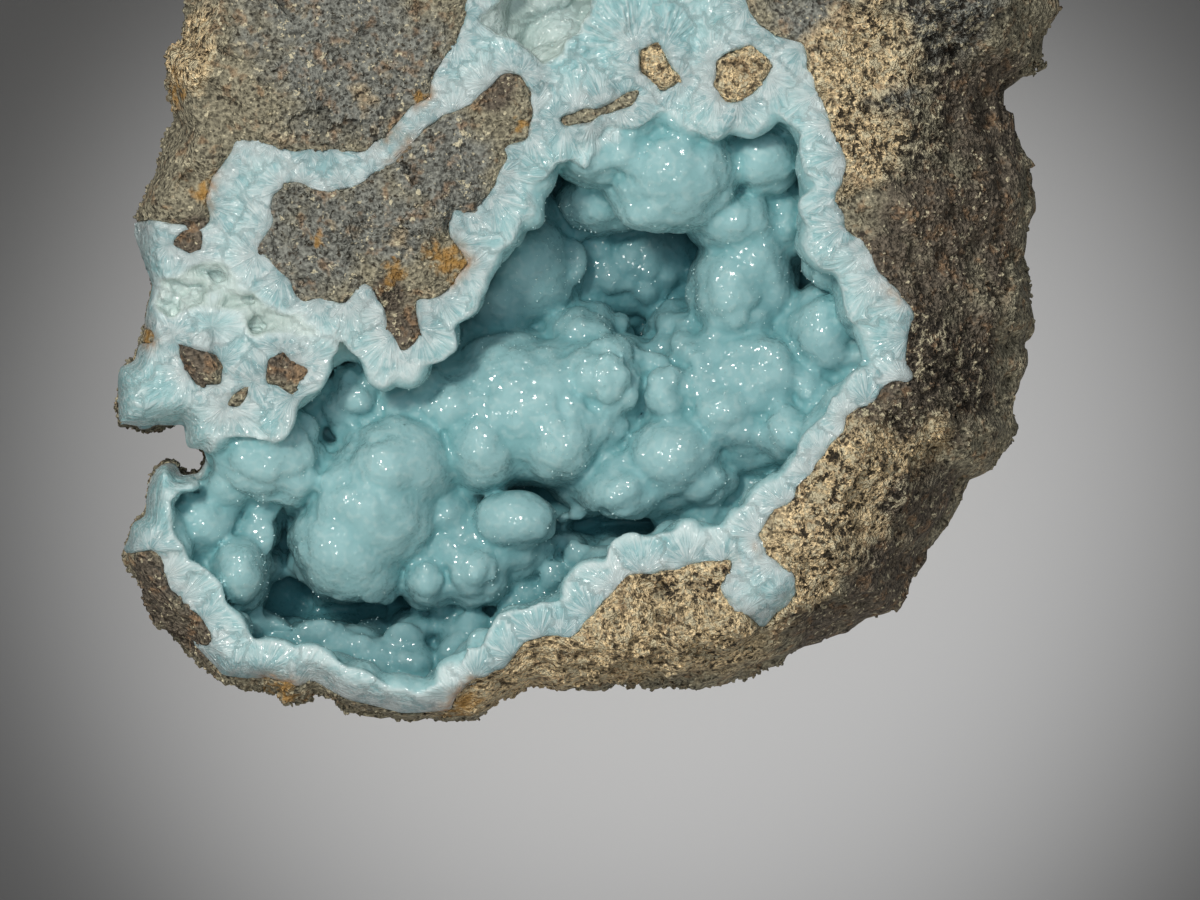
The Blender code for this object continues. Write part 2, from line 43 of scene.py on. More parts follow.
# The piece as a whole, in millimetres: the same shape as its CAD solids, drawn finer
specimen = {
    "cell": 0.38,  # spacing of the points that the shapes are worked out on
    "faceHeight": 32.5,  # flat back to the middle of the broken face
    "faceSlope": 0.06,
    "baseInset": 8.0,
    "baseRise": 9.5,
    "corner": 1.6,  # how far edges are worn round
    "outline": [
        (-39.2, 26.1), (-40.3, 22.0), (-42.1, 20.9), (-42.2, 18.1), (-41.1, 13.6), (-42.2, 11.1),
        (-43.7, 7.6), (-44.7, 4.9), (-44.6, 2.1), (-43.8, -2.4), (-44.4, -6.9), (-45.2, -9.9),
        (-46.6, -10.7), (-47.4, -16.6), (-44.7, -17.0), (-40.7, -16.4), (-39.9, -18.7), (-38.7, -19.1),
        (-39.3, -21.1), (-40.9, -21.1), (-41.7, -20.2), (-42.7, -20.1), (-43.5, -20.9), (-44.4, -23.1),
        (-44.4, -25.4), (-45.7, -26.4), (-46.4, -28.9), (-46.2, -30.4), (-42.7, -35.9), (-40.2, -38.4),
        (-36.9, -42.1), (-34.2, -42.5), (-31.2, -43.1), (-30.4, -43.8), (-28.7, -43.5), (-27.5, -42.8),
        (-24.2, -44.6), (-18.7, -46.1), (-11.7, -45.7), (-8.7, -43.7), (-5.7, -42.3), (-2.7, -42.7),
        (1.3, -41.9), (5.3, -41.7), (9.3, -42.5), (17.3, -41.4), (21.3, -39.4), (24.3, -37.9),
        (28.3, -36.1), (30.8, -35.7), (31.8, -33.9), (33.0, -30.5), (35.5, -27.2), (39.0, -22.4),
        (41.6, -21.0), (43.5, -17.1), (42.9, -14.6), (44.3, -10.6), (44.4, -8.1), (45.6, -6.6),
        (45.4, -3.9), (44.3, 0.4), (45.4, 5.4), (44.9, 9.3), (43.5, 11.7), (42.6, 17.4),
        (46.2, 20.4), (47.5, 26.1), (46.0, 33.0), (39.5, 38.5), (29.0, 42.6), (18.0, 45.2),
        (5.0, 46.4), (-9.0, 45.4), (-21.0, 42.2), (-31.5, 37.6), (-37.0, 32.0),
    ],
    # direction in degrees, width and drop of the fall-off towards the outline
    "flanks": [
        (0, 14.0, 18.5), (35, 12.0, 15.0), (65, 9.0, 12.0), (90, 8.0, 10.0), (125, 5.0, 7.0),
        (150, 3.5, 4.5), (180, 2.0, 3.0), (215, 2.5, 4.0), (250, 3.5, 6.0), (275, 4.5, 8.0),
        (300, 7.5, 14.0), (325, 12.0, 17.5), (360, 14.0, 18.5),
    ],
    # centre x, y, reach, height
    "swells": [
        (-24.0, 14.0, 17.0, 2.2), (27.0, 4.0, 10.0, 1.6), (-40.0, -33.0, 12.0, -3.2),
        (-22.0, -42.0, 12.0, -1.8), (10.0, -37.0, 10.0, -0.8), (24.0, -20.0, 9.0, 0.8),
    ],
    # layers of unevenness: height, wavelength and seed
    "faceRough": [(0.55, 7.0, 11), (0.3, 3.1, 12)],
    "rockGrain": [(0.22, 1.5, 13), (0.14, 0.85, 14)],
    "edgeRough": [(0.28, 2.6, 21), (0.14, 1.2, 22)],
    "rugged": [(0.7, 6.5, 31), (0.5, 3.0, 32), (0.3, 1.6, 33)],
    "weathered": [(0.45, 2.1, 36), (0.2, 1.2, 37)],
    # fracture planes: size, tilt and seed
    "chips": [(5.5, 0.22, 34), (2.3, 0.22, 35)],
    "weatheredChips": (3.4, 0.32, 38),
}

# Where crust, clasts and hollows meet the broken face
face = {
    "veinFloor": 23.0,
    "veinSlope": 0.12,
    "hollowFloor": 19.0,
    "crustRough": [(0.34, 1.7, 41), (0.24, 0.9, 42)],
    "hollowRough": [(0.34, 2.4, 51), (0.22, 1.0, 53)],
    "skin": 0.9,  # rock left outside the crust along the bottom edge
    "crustEdge": [
        (-50.0, 3.5), (-42.0, 3.8), (-39.0, 3.4), (-37.5, 4.0), (-37.8, 6.2), (-37.2, 8.2),
        (-35.4, 10.2), (-35.0, 11.6), (-32.4, 12.0), (-28.6, 11.0), (-22.2, 11.0), (-19.6, 12.4),
        (-17.6, 14.8), (-15.8, 16.2), (-15.6, 18.6), (-14.0, 20.8), (-12.8, 22.6), (-12.0, 25.0),
        (-9.6, 28.6), (-6.0, 31.6), (0.0, 33.0), (6.5, 32.6), (11.6, 30.0), (14.6, 27.0), (16.0, 25.0),
        (18.0, 23.0), (21.2, 21.2), (22.4, 18.6), (23.8, 15.0), (25.2, 12.0), (25.6, 9.4), (25.1, 6.0),
        (25.8, 3.2), (27.4, 2.0), (28.2, -0.2), (29.8, -2.8), (31.8, -4.0), (32.7, -5.6), (31.8, -8.4),
        (32.2, -11.6), (30.4, -12.4), (27.8, -14.2), (26.0, -15.4), (25.6, -17.2), (23.4, -19.4),
        (21.6, -21.6), (20.6, -23.6), (18.6, -25.2), (17.4, -27.4), (17.8, -29.4), (20.2, -31.2),
        (20.6, -33.2), (17.6, -36.6), (14.8, -34.8), (13.6, -32.6), (14.2, -30.2), (11.6, -30.2),
        (9.0, -30.4), (6.0, -31.2), (4.0, -31.4), (2.4, -33.2), (0.4, -35.6), (-1.8, -37.6),
        (-4.4, -37.4), (-6.4, -38.8), (-8.6, -40.6), (-11.4, -41.9), (-13.0, -43.6), (-15.4, -50.0),
        (-29.0, -50.3), (-29.4, -42.2), (-32.0, -41.7), (-35.4, -41.8), (-37.6, -44.1), (-48.0, -44.6),
        (-44.2, -37.6), (-40.0, -37.9), (-38.2, -38.9), (-37.2, -38.2), (-38.8, -35.6), (-41.6, -32.8),
        (-42.8, -30.4), (-43.6, -28.8), (-46.0, -29.4), (-50.0, -28.6),
    ],
    "clasts": [
        [
            (-6.6, 18.6), (-5.2, 16.8), (-6.2, 12.2), (-8.2, 11.2), (-7.6, 10.2), (-8.6, 8.6),
            (-9.6, 6.4), (-11.2, 4.8), (-13.4, 5.2), (-13.6, 2.4), (-11.4, -0.2), (-13.0, -2.0),
            (-15.0, -3.6), (-16.8, -4.0), (-16.8, -7.0), (-18.4, -8.8), (-19.8, -6.8), (-20.2, -4.6),
            (-22.2, -2.4), (-24.4, -4.2), (-28.2, -3.8), (-31.0, -1.0), (-33.4, 1.0), (-31.6, 3.8),
            (-31.4, 6.4), (-29.6, 7.8), (-25.6, 7.2), (-21.8, 8.2), (-19.0, 9.8), (-16.6, 13.4),
            (-13.4, 14.8), (-10.2, 17.4), (-8.2, 18.8),
        ],
        [
            (-41.4, -7.4), (-37.4, -6.6), (-37.6, -8.6), (-36.2, -10.6), (-36.8, -12.2),
            (-39.0, -12.2), (-40.6, -9.8),
        ],
        [(-30.2, -8.6), (-28.0, -11.2), (-29.4, -13.6), (-32.0, -12.2), (-32.0, -9.8)],
        [(4.8, 21.4), (7.0, 21.6), (9.6, 18.4), (7.6, 17.2), (5.4, 18.6)],
        [(12.6, 20.0), (16.4, 21.4), (18.8, 19.4), (17.0, 17.0), (13.8, 15.4), (12.4, 17.4)],
        # too small for the solids
        [(-41.6, 1.6), (-40.2, 3.0), (-38.6, 2.6), (-38.6, 0.8), (-39.8, 0.6)],
        [(-36.2, -14.6), (-34.6, -13.0), (-33.6, -11.6), (-33.2, -12.2), (-34.8, -14.4)],
        [(-3.0, 14.2), (0.4, 15.2), (3.6, 15.8), (5.2, 17.0), (4.4, 15.6), (0.6, 13.8), (-2.2, 13.4)],
        [(-45.0, -7.0), (-43.4, -7.0), (-43.2, -8.2), (-45.0, -8.4)],
    ],
    "hollowEdge": [
        (-39.4, -18.6), (-37.6, -18.4), (-33.4, -17.2), (-31.4, -18.6), (-29.0, -14.6), (-26.6, -11.6),
        (-24.4, -8.4), (-22.4, -10.4), (-20.2, -11.7), (-17.6, -11.6), (-15.6, -10.0), (-13.4, -8.4),
        (-13.0, -6.0), (-11.4, -4.0), (-10.0, -1.0), (-7.4, 1.8), (-6.6, 3.6), (-5.2, 4.6),
        (-4.8, 7.0), (-3.0, 10.1), (0.0, 8.6), (3.4, 12.0), (8.0, 14.0), (12.4, 12.4), (15.0, 13.4),
        (19.2, 14.0), (20.9, 12.4), (21.8, 8.0), (21.8, 1.8), (23.2, -1.2), (25.4, -3.6), (26.0, -6.2),
        (28.4, -8.4), (29.0, -10.4), (26.6, -11.8), (24.4, -13.6), (22.2, -16.8), (20.4, -20.4),
        (18.4, -22.6), (15.2, -24.2), (13.6, -26.8), (12.4, -27.2), (9.4, -26.4), (6.2, -27.4),
        (2.0, -28.8), (-0.2, -30.6), (-2.2, -33.2), (-4.0, -34.4), (-8.6, -36.0), (-10.6, -37.8),
        (-12.4, -39.8), (-15.0, -41.0), (-17.4, -42.0), (-20.8, -42.2), (-22.4, -41.0), (-25.4, -39.8),
        (-28.8, -38.7), (-33.8, -38.5), (-35.0, -36.0), (-36.6, -33.6), (-38.8, -31.2), (-41.2, -27.6),
        (-41.6, -23.6), (-40.0, -22.4), (-41.0, -20.0),
    ],
    "smallHollows": [
        [(-9.0, 22.4), (-6.4, 21.4), (-2.8, 20.6), (-0.6, 22.4), (0.8, 27.4), (-4.0, 29.4), (-8.4, 26.6)],
        [
            (-43.6, -1.4), (-40.0, -1.0), (-36.0, -1.6), (-32.2, -4.0), (-28.5, -5.8), (-25.2, -7.0),
            (-24.6, -8.4), (-28.0, -8.0), (-32.0, -6.8), (-36.0, -5.6), (-40.0, -5.0), (-43.6, -4.0),
        ],
    ],
}

# The pocket in the rock and the lumps in it: centre x, y, z (of a lump: its top), then half sizes
crust = {
    "thickness": 4.0,
    "overlap": 0.12,  # how far crust and rock run into each other
    "least": 2.6,  # thinnest lining of a hollow
    "merge": 0.55,  # how widely neighbouring lumps run together
    "swollen": 1.07,  # lumps here against those of the solid
    "wallLump": (4.4, 1.2),  # spacing and height of the lumps that cover the walls
    "smallLump": (2.6, 0.62),  # and of those on the large lumps
    "faceLump": (4.8, 0.9),  # and of those on the broken edge
    "fanSpacing": 3.4,  # between the points that fibres fan out from
    "fanStep": 0.12,  # how far fans stand above one another
    "ribs": (11, 0.09),  # how many in a fan, and their height
    "crumb": (1.5, 0.2),  # size and tilt of the bits that the edge has crumbled into
    "lumpyRim": (5.0, 21.0, 15.0),  # where the broken edge is lumpiest, and its reach
    "lip": (0.5, 1.2),  # how far the lip is worn round at the least, and more at the top and right
    "cores": [
        # what the lumps of one cluster grow on
        (-5.2, -14.8, 28.0, 11.2, 7.4, 10.0), (-21.6, -24.6, 29.4, 7.0, 7.0, 12.0),
        (15.5, -13.4, 25.2, 10.5, 8.0, 9.0), (-16.5, -13.5, 25.0, 8.0, 5.5, 8.0),
        (16.5, 1.0, 25.0, 4.6, 10.0, 8.0), (-12.0, -28.8, 23.5, 9.0, 4.5, 9.0),
        (4.5, -21.5, 25.5, 8.5, 4.2, 9.0), (-31.0, -21.0, 24.0, 8.0, 5.0, 8.0),
        (3.6, 0.2, 17.0, 9.0, 6.6, 8.0),
    ],
    "pocket": [
        (-18.7, -26.4, 17.0, 21.0, 15.5, 10.5), (1.3, -14.4, 17.0, 21.5, 15.0, 10.5),
        (11.3, -2.4, 17.0, 17.0, 16.5, 10.5), (6.3, 7.0, 18.0, 14.0, 9.5, 10.0),
        (21.0, -12.4, 18.0, 10.0, 10.5, 10.0), (-34.6, -24.4, 18.0, 7.0, 8.0, 9.0),
        (-8.7, -0.9, 17.0, 9.5, 9.5, 10.5),
    ],
    "cleftLining": 1.3,
    "cleftLump": (3.0, 1.0),
    "clefts": [
        # narrow dark gaps between the lumps
        (2.2, -26.8, 20.0, 5.6, 1.8, 9.0), (-25.5, -35.2, 18.0, 7.0, 1.6, 7.0),
        (-29.6, -34.2, 16.0, 3.4, 2.6, 6.5), (-30.6, -28.4, 22.0, 1.0, 4.4, 7.0),
    ],
    "smoothLumps": [
        # centre and reach of lumps without smaller ones on them
        (-24.0, -28.0, 6.0), (-19.0, -21.0, 5.5), (-7.5, -25.7, 3.6), (-35.2, -31.2, 4.0), (14.7, 0.5, 5.0),
        (-6.4, -1.2, 6.0), (8.8, -19.8, 4.6), (24.0, -8.0, 4.0), (-32.6, -19.0, 4.0), (16.0, -13.0, 3.0),
        (8.3, 9.1, 4.5), (17.6, 10.4, 4.0), (-39.0, -26.2, 3.0), (-23.0, -38.0, 5.0), (20.2, -17.2, 3.0),
    ],
    "smallFloors": [29.5, 30.2],
    "smallPockets": [(-3.8, 25.4, 31.0, 8.5, 7.5, 10.0), (-37.0, -4.0, 30.0, 6.0, 5.5, 8.0)],
    "lumps": [
        # under the top rim
        (8.3, 9.1, 33.0, 6.6, 5.8, 9.0), (2.0, 11.5, 33.0, 5.5, 3.8, 8.0), (6.5, 5.6, 31.0, 3.6, 2.6, 5.0),
        (17.6, 10.4, 29.0, 3.8, 3.6, 8.0), (1.8, 6.2, 24.0, 4.5, 3.2, 7.0),
        # right wall
        (14.5, 4.3, 27.0, 4.6, 3.2, 7.0), (14.6, -2.6, 26.0, 4.2, 5.4, 9.0),
        (20.5, 4.0, 24.0, 2.6, 4.2, 7.0), (20.3, -6.0, 22.0, 3.2, 2.6, 7.0),
        (24.0, -7.2, 26.5, 3.8, 4.8, 8.0), (27.0, -9.5, 25.0, 2.6, 2.8, 6.0),
        (18.0, -11.2, 26.0, 4.2, 4.4, 8.0), (22.5, -13.0, 25.0, 3.2, 3.4, 7.0),
        (13.8, -15.2, 26.5, 4.2, 4.0, 8.0), (11.0, -9.0, 22.0, 4.2, 3.8, 8.0),
        (9.5, -6.6, 19.0, 3.2, 2.8, 6.0), (20.2, -17.2, 27.0, 3.2, 2.9, 7.0),
        (17.5, -20.5, 20.0, 3.4, 2.8, 7.0),
        # right of the middle
        (8.4, -19.6, 28.0, 5.2, 4.6, 10.0), (7.8, -13.2, 26.0, 3.0, 3.8, 9.0),
        (3.4, -23.0, 27.0, 4.6, 3.4, 9.0), (11.0, -22.0, 25.0, 4.2, 2.9, 8.0),
        (12.5, -25.4, 21.5, 4.0, 2.6, 7.0),
        # the middle cluster
        (-2.9, -17.8, 29.0, 4.9, 4.9, 10.0), (-10.4, -18.5, 28.5, 4.4, 4.8, 10.0),
        (-13.5, -14.5, 27.0, 4.2, 3.8, 9.0), (-7.2, -11.2, 26.5, 6.0, 4.6, 10.0),
        (1.4, -11.8, 28.2, 5.0, 4.8, 10.0), (-0.7, -7.4, 23.0, 4.4, 3.0, 8.0),
        (1.3, -17.0, 24.0, 3.8, 4.2, 9.0), (-7.3, -25.7, 26.0, 4.0, 2.7, 3.4),
        (-6.4, -28.0, 21.0, 3.6, 2.8, 8.0),
        # lower left
        (-16.0, -31.9, 24.5, 3.2, 3.2, 8.0), (-11.5, -31.0, 25.0, 3.8, 3.8, 8.0),
        (-9.0, -28.6, 22.5, 4.4, 3.4, 8.0), (-18.6, -20.2, 29.4, 5.9, 5.3, 11.0),
        (-24.2, -28.4, 28.4, 6.0, 6.4, 11.0), (-23.2, -31.5, 26.0, 4.8, 3.8, 9.0),
        (-19.9, -20.4, 30.3, 3.2, 3.1, 5.0),
        (-15.0, -25.2, 24.0, 4.8, 4.6, 9.0), (-23.4, -13.9, 25.0, 4.4, 4.0, 8.0),
        (-15.8, -10.4, 21.0, 4.4, 3.4, 7.0),
        # left wall
        (-32.6, -19.0, 29.8, 5.6, 4.8, 8.0), (-29.6, -21.6, 27.0, 3.6, 3.2, 7.0),
        (-35.0, -31.0, 27.2, 3.3, 4.1, 9.0), (-39.0, -26.2, 26.0, 4.2, 3.8, 7.0),
        (-32.6, -27.2, 23.5, 3.6, 5.0, 7.0), (-36.4, -22.6, 26.0, 3.0, 2.6, 5.0),
        (-33.5, -25.4, 19.0, 5.4, 3.8, 7.0),
        # floor under the bottom rim
        (-33.0, -37.4, 14.0, 3.4, 2.4, 6.0), (-18.0, -40.3, 20.0, 3.0, 2.4, 7.0),
        (-23.2, -38.2, 17.5, 4.4, 3.4, 7.0), (-17.2, -37.0, 18.0, 3.4, 2.4, 7.0),
        (-13.0, -36.8, 19.0, 3.8, 3.8, 8.0), (-6.0, -33.4, 19.5, 5.0, 2.6, 8.0),
        # back wall
        (-6.0, -0.6, 23.0, 5.4, 6.6, 10.0), (-8.3, -3.7, 22.0, 4.4, 4.4, 9.0),
        # the two small hollows
        (-42.0, -2.8, 31.6, 1.5, 1.3, 3.0), (-39.4, -2.1, 31.7, 1.7, 1.3, 3.0),
        (-37.2, -3.6, 32.2, 1.7, 1.5, 3.0), (-40.0, -4.2, 31.4, 1.4, 1.1, 3.0),
        (-34.8, -2.9, 31.9, 1.5, 1.2, 3.0), (-34.4, -5.2, 32.3, 1.6, 1.2, 3.0),
        (-31.8, -5.0, 31.9, 1.5, 1.2, 3.0), (-29.6, -6.7, 32.2, 1.6, 1.2, 3.0),
        (-27.0, -7.3, 31.6, 1.3, 1.0, 3.0),
        # balls by the notch
        (-42.2, -21.4, 30.6, 1.4, 1.5, 2.0), (-41.7, -23.2, 30.4, 1.1, 1.0, 2.0),
        (-43.7, -24.4, 30.2, 1.2, 1.0, 2.0),
        (-5.4, 26.4, 30.0, 2.8, 2.4, 3.6), (-2.0, 23.4, 29.0, 2.2, 2.2, 3.2),
    ],
}


# Working grid

def axisPoints(low, high):
    count = int(math.ceil((high - low) / specimen["cell"])) + 1
    return low + specimen["cell"] * np.arange(count, dtype=np.float32)


gridX = axisPoints(-50.0, 50.0)
gridY = axisPoints(-49.0, 49.0)
gridZ = axisPoints(-1.6, 38.4)
gridLow = np.array([gridX[0], gridY[0], gridZ[0]])
flatX, flatY = np.meshgrid(gridX, gridY, indexing="ij")
wholeShape = (len(gridX), len(gridY), len(gridZ))


def splineWeights(points, size, count):
    # cubic blend of the coarse values round each point
    place = (points - points[0]) / size + 1.0
    base = np.floor(place).astype(int)
    t = place - base
    parts = [(1 - t) ** 3 / 6, (3 * t**3 - 6 * t**2 + 4) / 6,
             (-3 * t**3 + 3 * t**2 + 3 * t + 1) / 6, t**3 / 6]
    weights = np.zeros((len(points), count), np.float32)
    for shift, part in zip((-1, 0, 1, 2), parts):
        weights[np.arange(len(points)), np.clip(base + shift, 0, count - 1)] += part
    return weights


def cloud(size, seed, axes):
    # soft noise of one wavelength, about -1 to 1, over the grid's axes
    counts = [int((points[-1] - points[0]) / size) + 5 for points in axes]
    values = np.random.default_rng(seed).uniform(-1, 1, counts).astype(np.float32)
    for points, count in zip(axes, counts):
        weights = splineWeights(points, size, count)
        values = np.tensordot(values, weights, axes=([0], [1]))
    return values / (2.0 * values.std())


def flatCloud(size, seed):
    return cloud(size, seed, (gridX, gridY))


def deepCloud(size, seed):
    return cloud(size, seed, (gridX, gridY, gridZ))


def frayed(field, layers, kind=flatCloud):
    # the field with layers of soft noise on it
    for height, size, seed in layers:
        field = field + height * kind(size, seed)
    return field


# Distances, in millimetres, positive inside

def insideOutline(x, y, points):
    nearest = np.full(x.shape, 1e6, np.float32)
    odd = np.zeros(x.shape, bool)
    for (x1, y1), (x2, y2) in zip(points, points[1:] + points[:1]):
        dx, dy = x2 - x1, y2 - y1
        along = np.clip(((x - x1) * dx + (y - y1) * dy) / (dx * dx + dy * dy), 0, 1)
        nearest = np.minimum(nearest, (x - x1 - along * dx) ** 2 + (y - y1 - along * dy) ** 2)
        if y1 != y2:
            odd ^= ((y1 > y) != (y2 > y)) & (x < dx * (y - y1) / dy + x1)
    return np.where(odd, 1, -1) * np.sqrt(nearest)


def smoothMax(a, b, width):
    blend = np.maximum(width - np.abs(a - b), 0) / width
    return np.maximum(a, b) + blend * blend * width / 4


def smoothMin(a, b, width):
    return -smoothMax(-a, -b, width)


def addBlobs(field, blobs, width):
    # joins ellipsoids to the field, each worked out only round itself
    for x, y, z, wide, high, deep in blobs:
        spans = []
        for points, centre, half in ((gridX, x, wide), (gridY, y, high), (gridZ, z, deep)):
            first, last = np.searchsorted(points, (centre - half - 3.0, centre + half + 3.0))
            spans.append(slice(first, last))
        px = (gridX[spans[0]] - x)[:, None, None]
        py = (gridY[spans[1]] - y)[None, :, None]
        pz = (gridZ[spans[2]] - z)[None, None, :]
        near = np.sqrt((px / wide) ** 2 + (py / high) ** 2 + (pz / deep) ** 2) + 1e-6
        steep = np.sqrt((px / wide**2) ** 2 + (py / high**2) ** 2 + (pz / deep**2) ** 2) + 1e-6
        blob = near * (1 - near) / steep
        part = tuple(spans)
        field[part] = smoothMax(field[part], blob, width)
    return field


def nearestCell(places, size, seed):
    # which of the jittered centres is nearest, and the way from it in millimetres
    rng = np.random.default_rng(seed)
    jitter = rng.uniform(0.12, 0.88, (64, 64, 64, 3)).astype(np.float32)
    scaled = ((places + 200.0) / size).astype(np.float32)
    home = np.floor(scaled).astype(np.int32)
    closest = np.full(len(places), 9.0, np.float32)
    way = np.zeros((len(places), 3), np.float32)
    cell = np.zeros((len(places), 3), np.int32)
    for step in np.ndindex(3, 3, 3):
        other = home + np.array(step, np.int32) - 1
        offset = scaled - other - jitter[tuple((other % 64).T)]
        far = (offset**2).sum(axis=1)
        nearer = far < closest
        closest = np.where(nearer, far, closest)
        way[nearer] = offset[nearer]
        cell[nearer] = other[nearer] % 64
    return cell, way * size


def nearSurface(field, reach):
    near = np.argwhere(np.abs(field) < reach)
    return tuple(near.T), gridLow + near * specimen["cell"]


def cellBumps(field, reach, size, height, seed, strength=None):
    # round bumps on jittered centres, near the surface of the field only
    spots, places = nearSurface(field, reach)
    way = nearestCell(places, size, seed)[1]
    bump = np.zeros(field.shape, np.float32)
    bump[spots] = height * (1 - (way**2).sum(axis=1) / (0.62 * size) ** 2)
    return bump if strength is None else bump * strength


def chips(field, size, tilt, seed):
    # small fracture planes near the surface, each leaning its own way
    spots, places = nearSurface(field, 3.0)
    cell, way = nearestCell(places, size, seed)
    lean = np.random.default_rng(seed + 1).uniform(-tilt, tilt, (64, 64, 64, 3)).astype(np.float32)
    chip = np.zeros(field.shape, np.float32)
    chip[spots] = (lean[tuple(cell.T)] * way).sum(axis=1)
    return chip


def sampleAt(field, places):
    # the field's value at any place, blended between the grid's points
    scaled = np.clip((places - gridLow) / specimen["cell"], 0, np.array(field.shape) - 1.001)
    base = scaled.astype(int)
    part = scaled - base
    total = np.zeros(len(places))
    for step in np.ndindex(2, 2, 2):
        weight = np.prod(np.where(step, part, 1 - part), axis=1)
        total += weight * field[tuple((base + step).T)]
    return total


print("grid", wholeShape)


# The broken piece as one solid

def flankShape():
    turn = np.degrees(np.arctan2(flatY, flatX)) % 360
    directions, widths, drops = np.array(specimen["flanks"]).T
    return np.interp(turn, directions, widths), np.interp(turn, directions, drops)


def faceShape(inside, onCrust):
    # height of the broken face: swells, fracture steps, and grain where it is rock
    height = specimen["faceHeight"] + specimen["faceSlope"] * flatY
    for x, y, reach, rise in specimen["swells"]:
        height += rise * np.exp(-((flatX - x) ** 2 + (flatY - y) ** 2) / reach**2)
    width, drop = flankShape()
    fall = np.clip(1.0 - inside / width, 0, 1)
    height -= drop * fall**1.6
    rough = frayed(0, specimen["faceRough"])
    return height + rough + np.where(onCrust > 0, crustRelief(), frayed(0, specimen["rockGrain"]))


def crustRelief():
    # broken fans of fibres, lumpy where the break follows the surface of the crust
    flat = np.stack([flatX.ravel(), flatY.ravel(), 0 * flatX.ravel()], axis=1)
    size, height = crust["faceLump"]
    way = nearestCell(flat, size, 17)[1]
    domes = 1 - (way**2).sum(axis=1).reshape(flatX.shape) / (0.62 * size) ** 2
    x, y, reach = crust["lumpyRim"]
    lumpy = 0.3 + np.exp(-((flatX - x) ** 2 + (flatY - y) ** 2) / reach**2)
    number, starts = nearestNucleus(flat)
    step = crust["fanStep"]
    steps = np.random.default_rng(18).uniform(-step, step, number.max() + 1)[number].reshape(flatX.shape)
    size, tilt = crust["crumb"]
    cell, way = nearestCell(flat, size, 19)
    lean = np.random.default_rng(20).uniform(-tilt, tilt, (64, 64, 64, 3))[tuple(cell.T)]
    crumbs = (lean[:, 0] * way[:, 0] + lean[:, 1] * way[:, 1] + 0.4 * lean[:, 2]).reshape(flatX.shape)
    turn = np.arctan2(flat[:, 1] - starts[:, 1], flat[:, 0] - starts[:, 0])
    reach = np.hypot(flat[:, 0] - starts[:, 0], flat[:, 1] - starts[:, 1])
    count, ribHeight = crust["ribs"]
    ribs = (np.sin(count * turn + number) * np.clip(reach / 2.0, 0, 1)).reshape(flatX.shape)
    return frayed(height * lumpy * domes + steps + crumbs + ribHeight * ribs, [(0.12, 1.3, 16)])


def nucleiAlong(outline, spacing, rng):
    # points where the fibres start, along the contact with the rock
    found = []
    left = 0.0
    for (x1, y1), (x2, y2) in zip(outline, outline[1:] + outline[:1]):
        length = math.hypot(x2 - x1, y2 - y1)
        along = left
        while along < length:
            share = along / length
            found.append((x1 + share * (x2 - x1), y1 + share * (y2 - y1)))
            along += spacing * rng.uniform(0.6, 1.4)
        left = along - length
    return found


def nearestNucleus(places):
    rng = np.random.default_rng(71)
    points = np.array([point for outline in [face["crustEdge"]] + face["clasts"]
                       for point in nucleiAlong(outline, crust["fanSpacing"], rng)])
    best = np.full(len(places), 1e9)
    chosen = np.zeros(len(places), int)
    atX = places[:, 0] + 0.4 * np.sin(2.3 * places[:, 1] + 1.7 * np.sin(1.9 * places[:, 0]))
    atY = places[:, 1] + 0.4 * np.sin(2.1 * places[:, 0] + 1.9 * np.sin(2.2 * places[:, 1]))
    for number, (x, y) in enumerate(points):
        far = (atX - x) ** 2 + (atY - y) ** 2
        chosen = np.where(far < best, number, chosen)
        best = np.minimum(best, far)
    return chosen, points[chosen]


def wholePiece(onCrust):
    inside = insideOutline(flatX, flatY, specimen["outline"])
    inside = frayed(inside, specimen["edgeRough"])
    top = faceShape(inside, onCrust)
    back = specimen["baseRise"] * np.clip(1 - inside / specimen["baseInset"], 0, 1) ** 2
    z = gridZ[None, None, :]
    body = smoothMin(0.8 * (top[:, :, None] - z), inside[:, :, None] + 0 * z, specimen["corner"])
    rugged = frayed(0, specimen["rugged"], deepCloud)
    rugged += sum(chips(body, *row) for row in specimen["chips"])
    # the right side and the bottom edge are weathered
    weathered = np.clip(np.maximum((flatX - 20.0) / 6.0, (-28.0 - flatY) / 4.0), 0, 1)[:, :, None]
    rugged += weathered * (
        frayed(0, specimen["weathered"], deepCloud) + chips(body, *specimen["weatheredChips"]))
    # calmer along the edge, where the piece is thin
    rugged *= np.clip(0.5 + inside / 5.0, 0.5, 1.0)[:, :, None]
    depth = np.clip((top[:, :, None] - z) / 4.0, 0, 1)
    rock = np.clip(-onCrust / 0.8, 0, 1)[:, :, None]
    slope = np.clip(1.0 - inside / 12.0, 0, 1)[:, :, None]
    body = body + rugged * np.maximum(depth, rock * (0.55 + 0.45 * slope))
    body = np.minimum(body, 0.8 * (z - back[:, :, None]) + rugged * np.clip(back[:, :, None], 0, 1))
    return np.minimum(body, z).astype(np.float32)


def crustRegion():
    # positive where the face shows crust or hollow, negative on rock
    region = insideOutline(flatX, flatY, face["crustEdge"])
    for clast in face["clasts"]:
        region = np.minimum(region, -insideOutline(flatX, flatY, clast))
    return frayed(region, face["crustRough"])


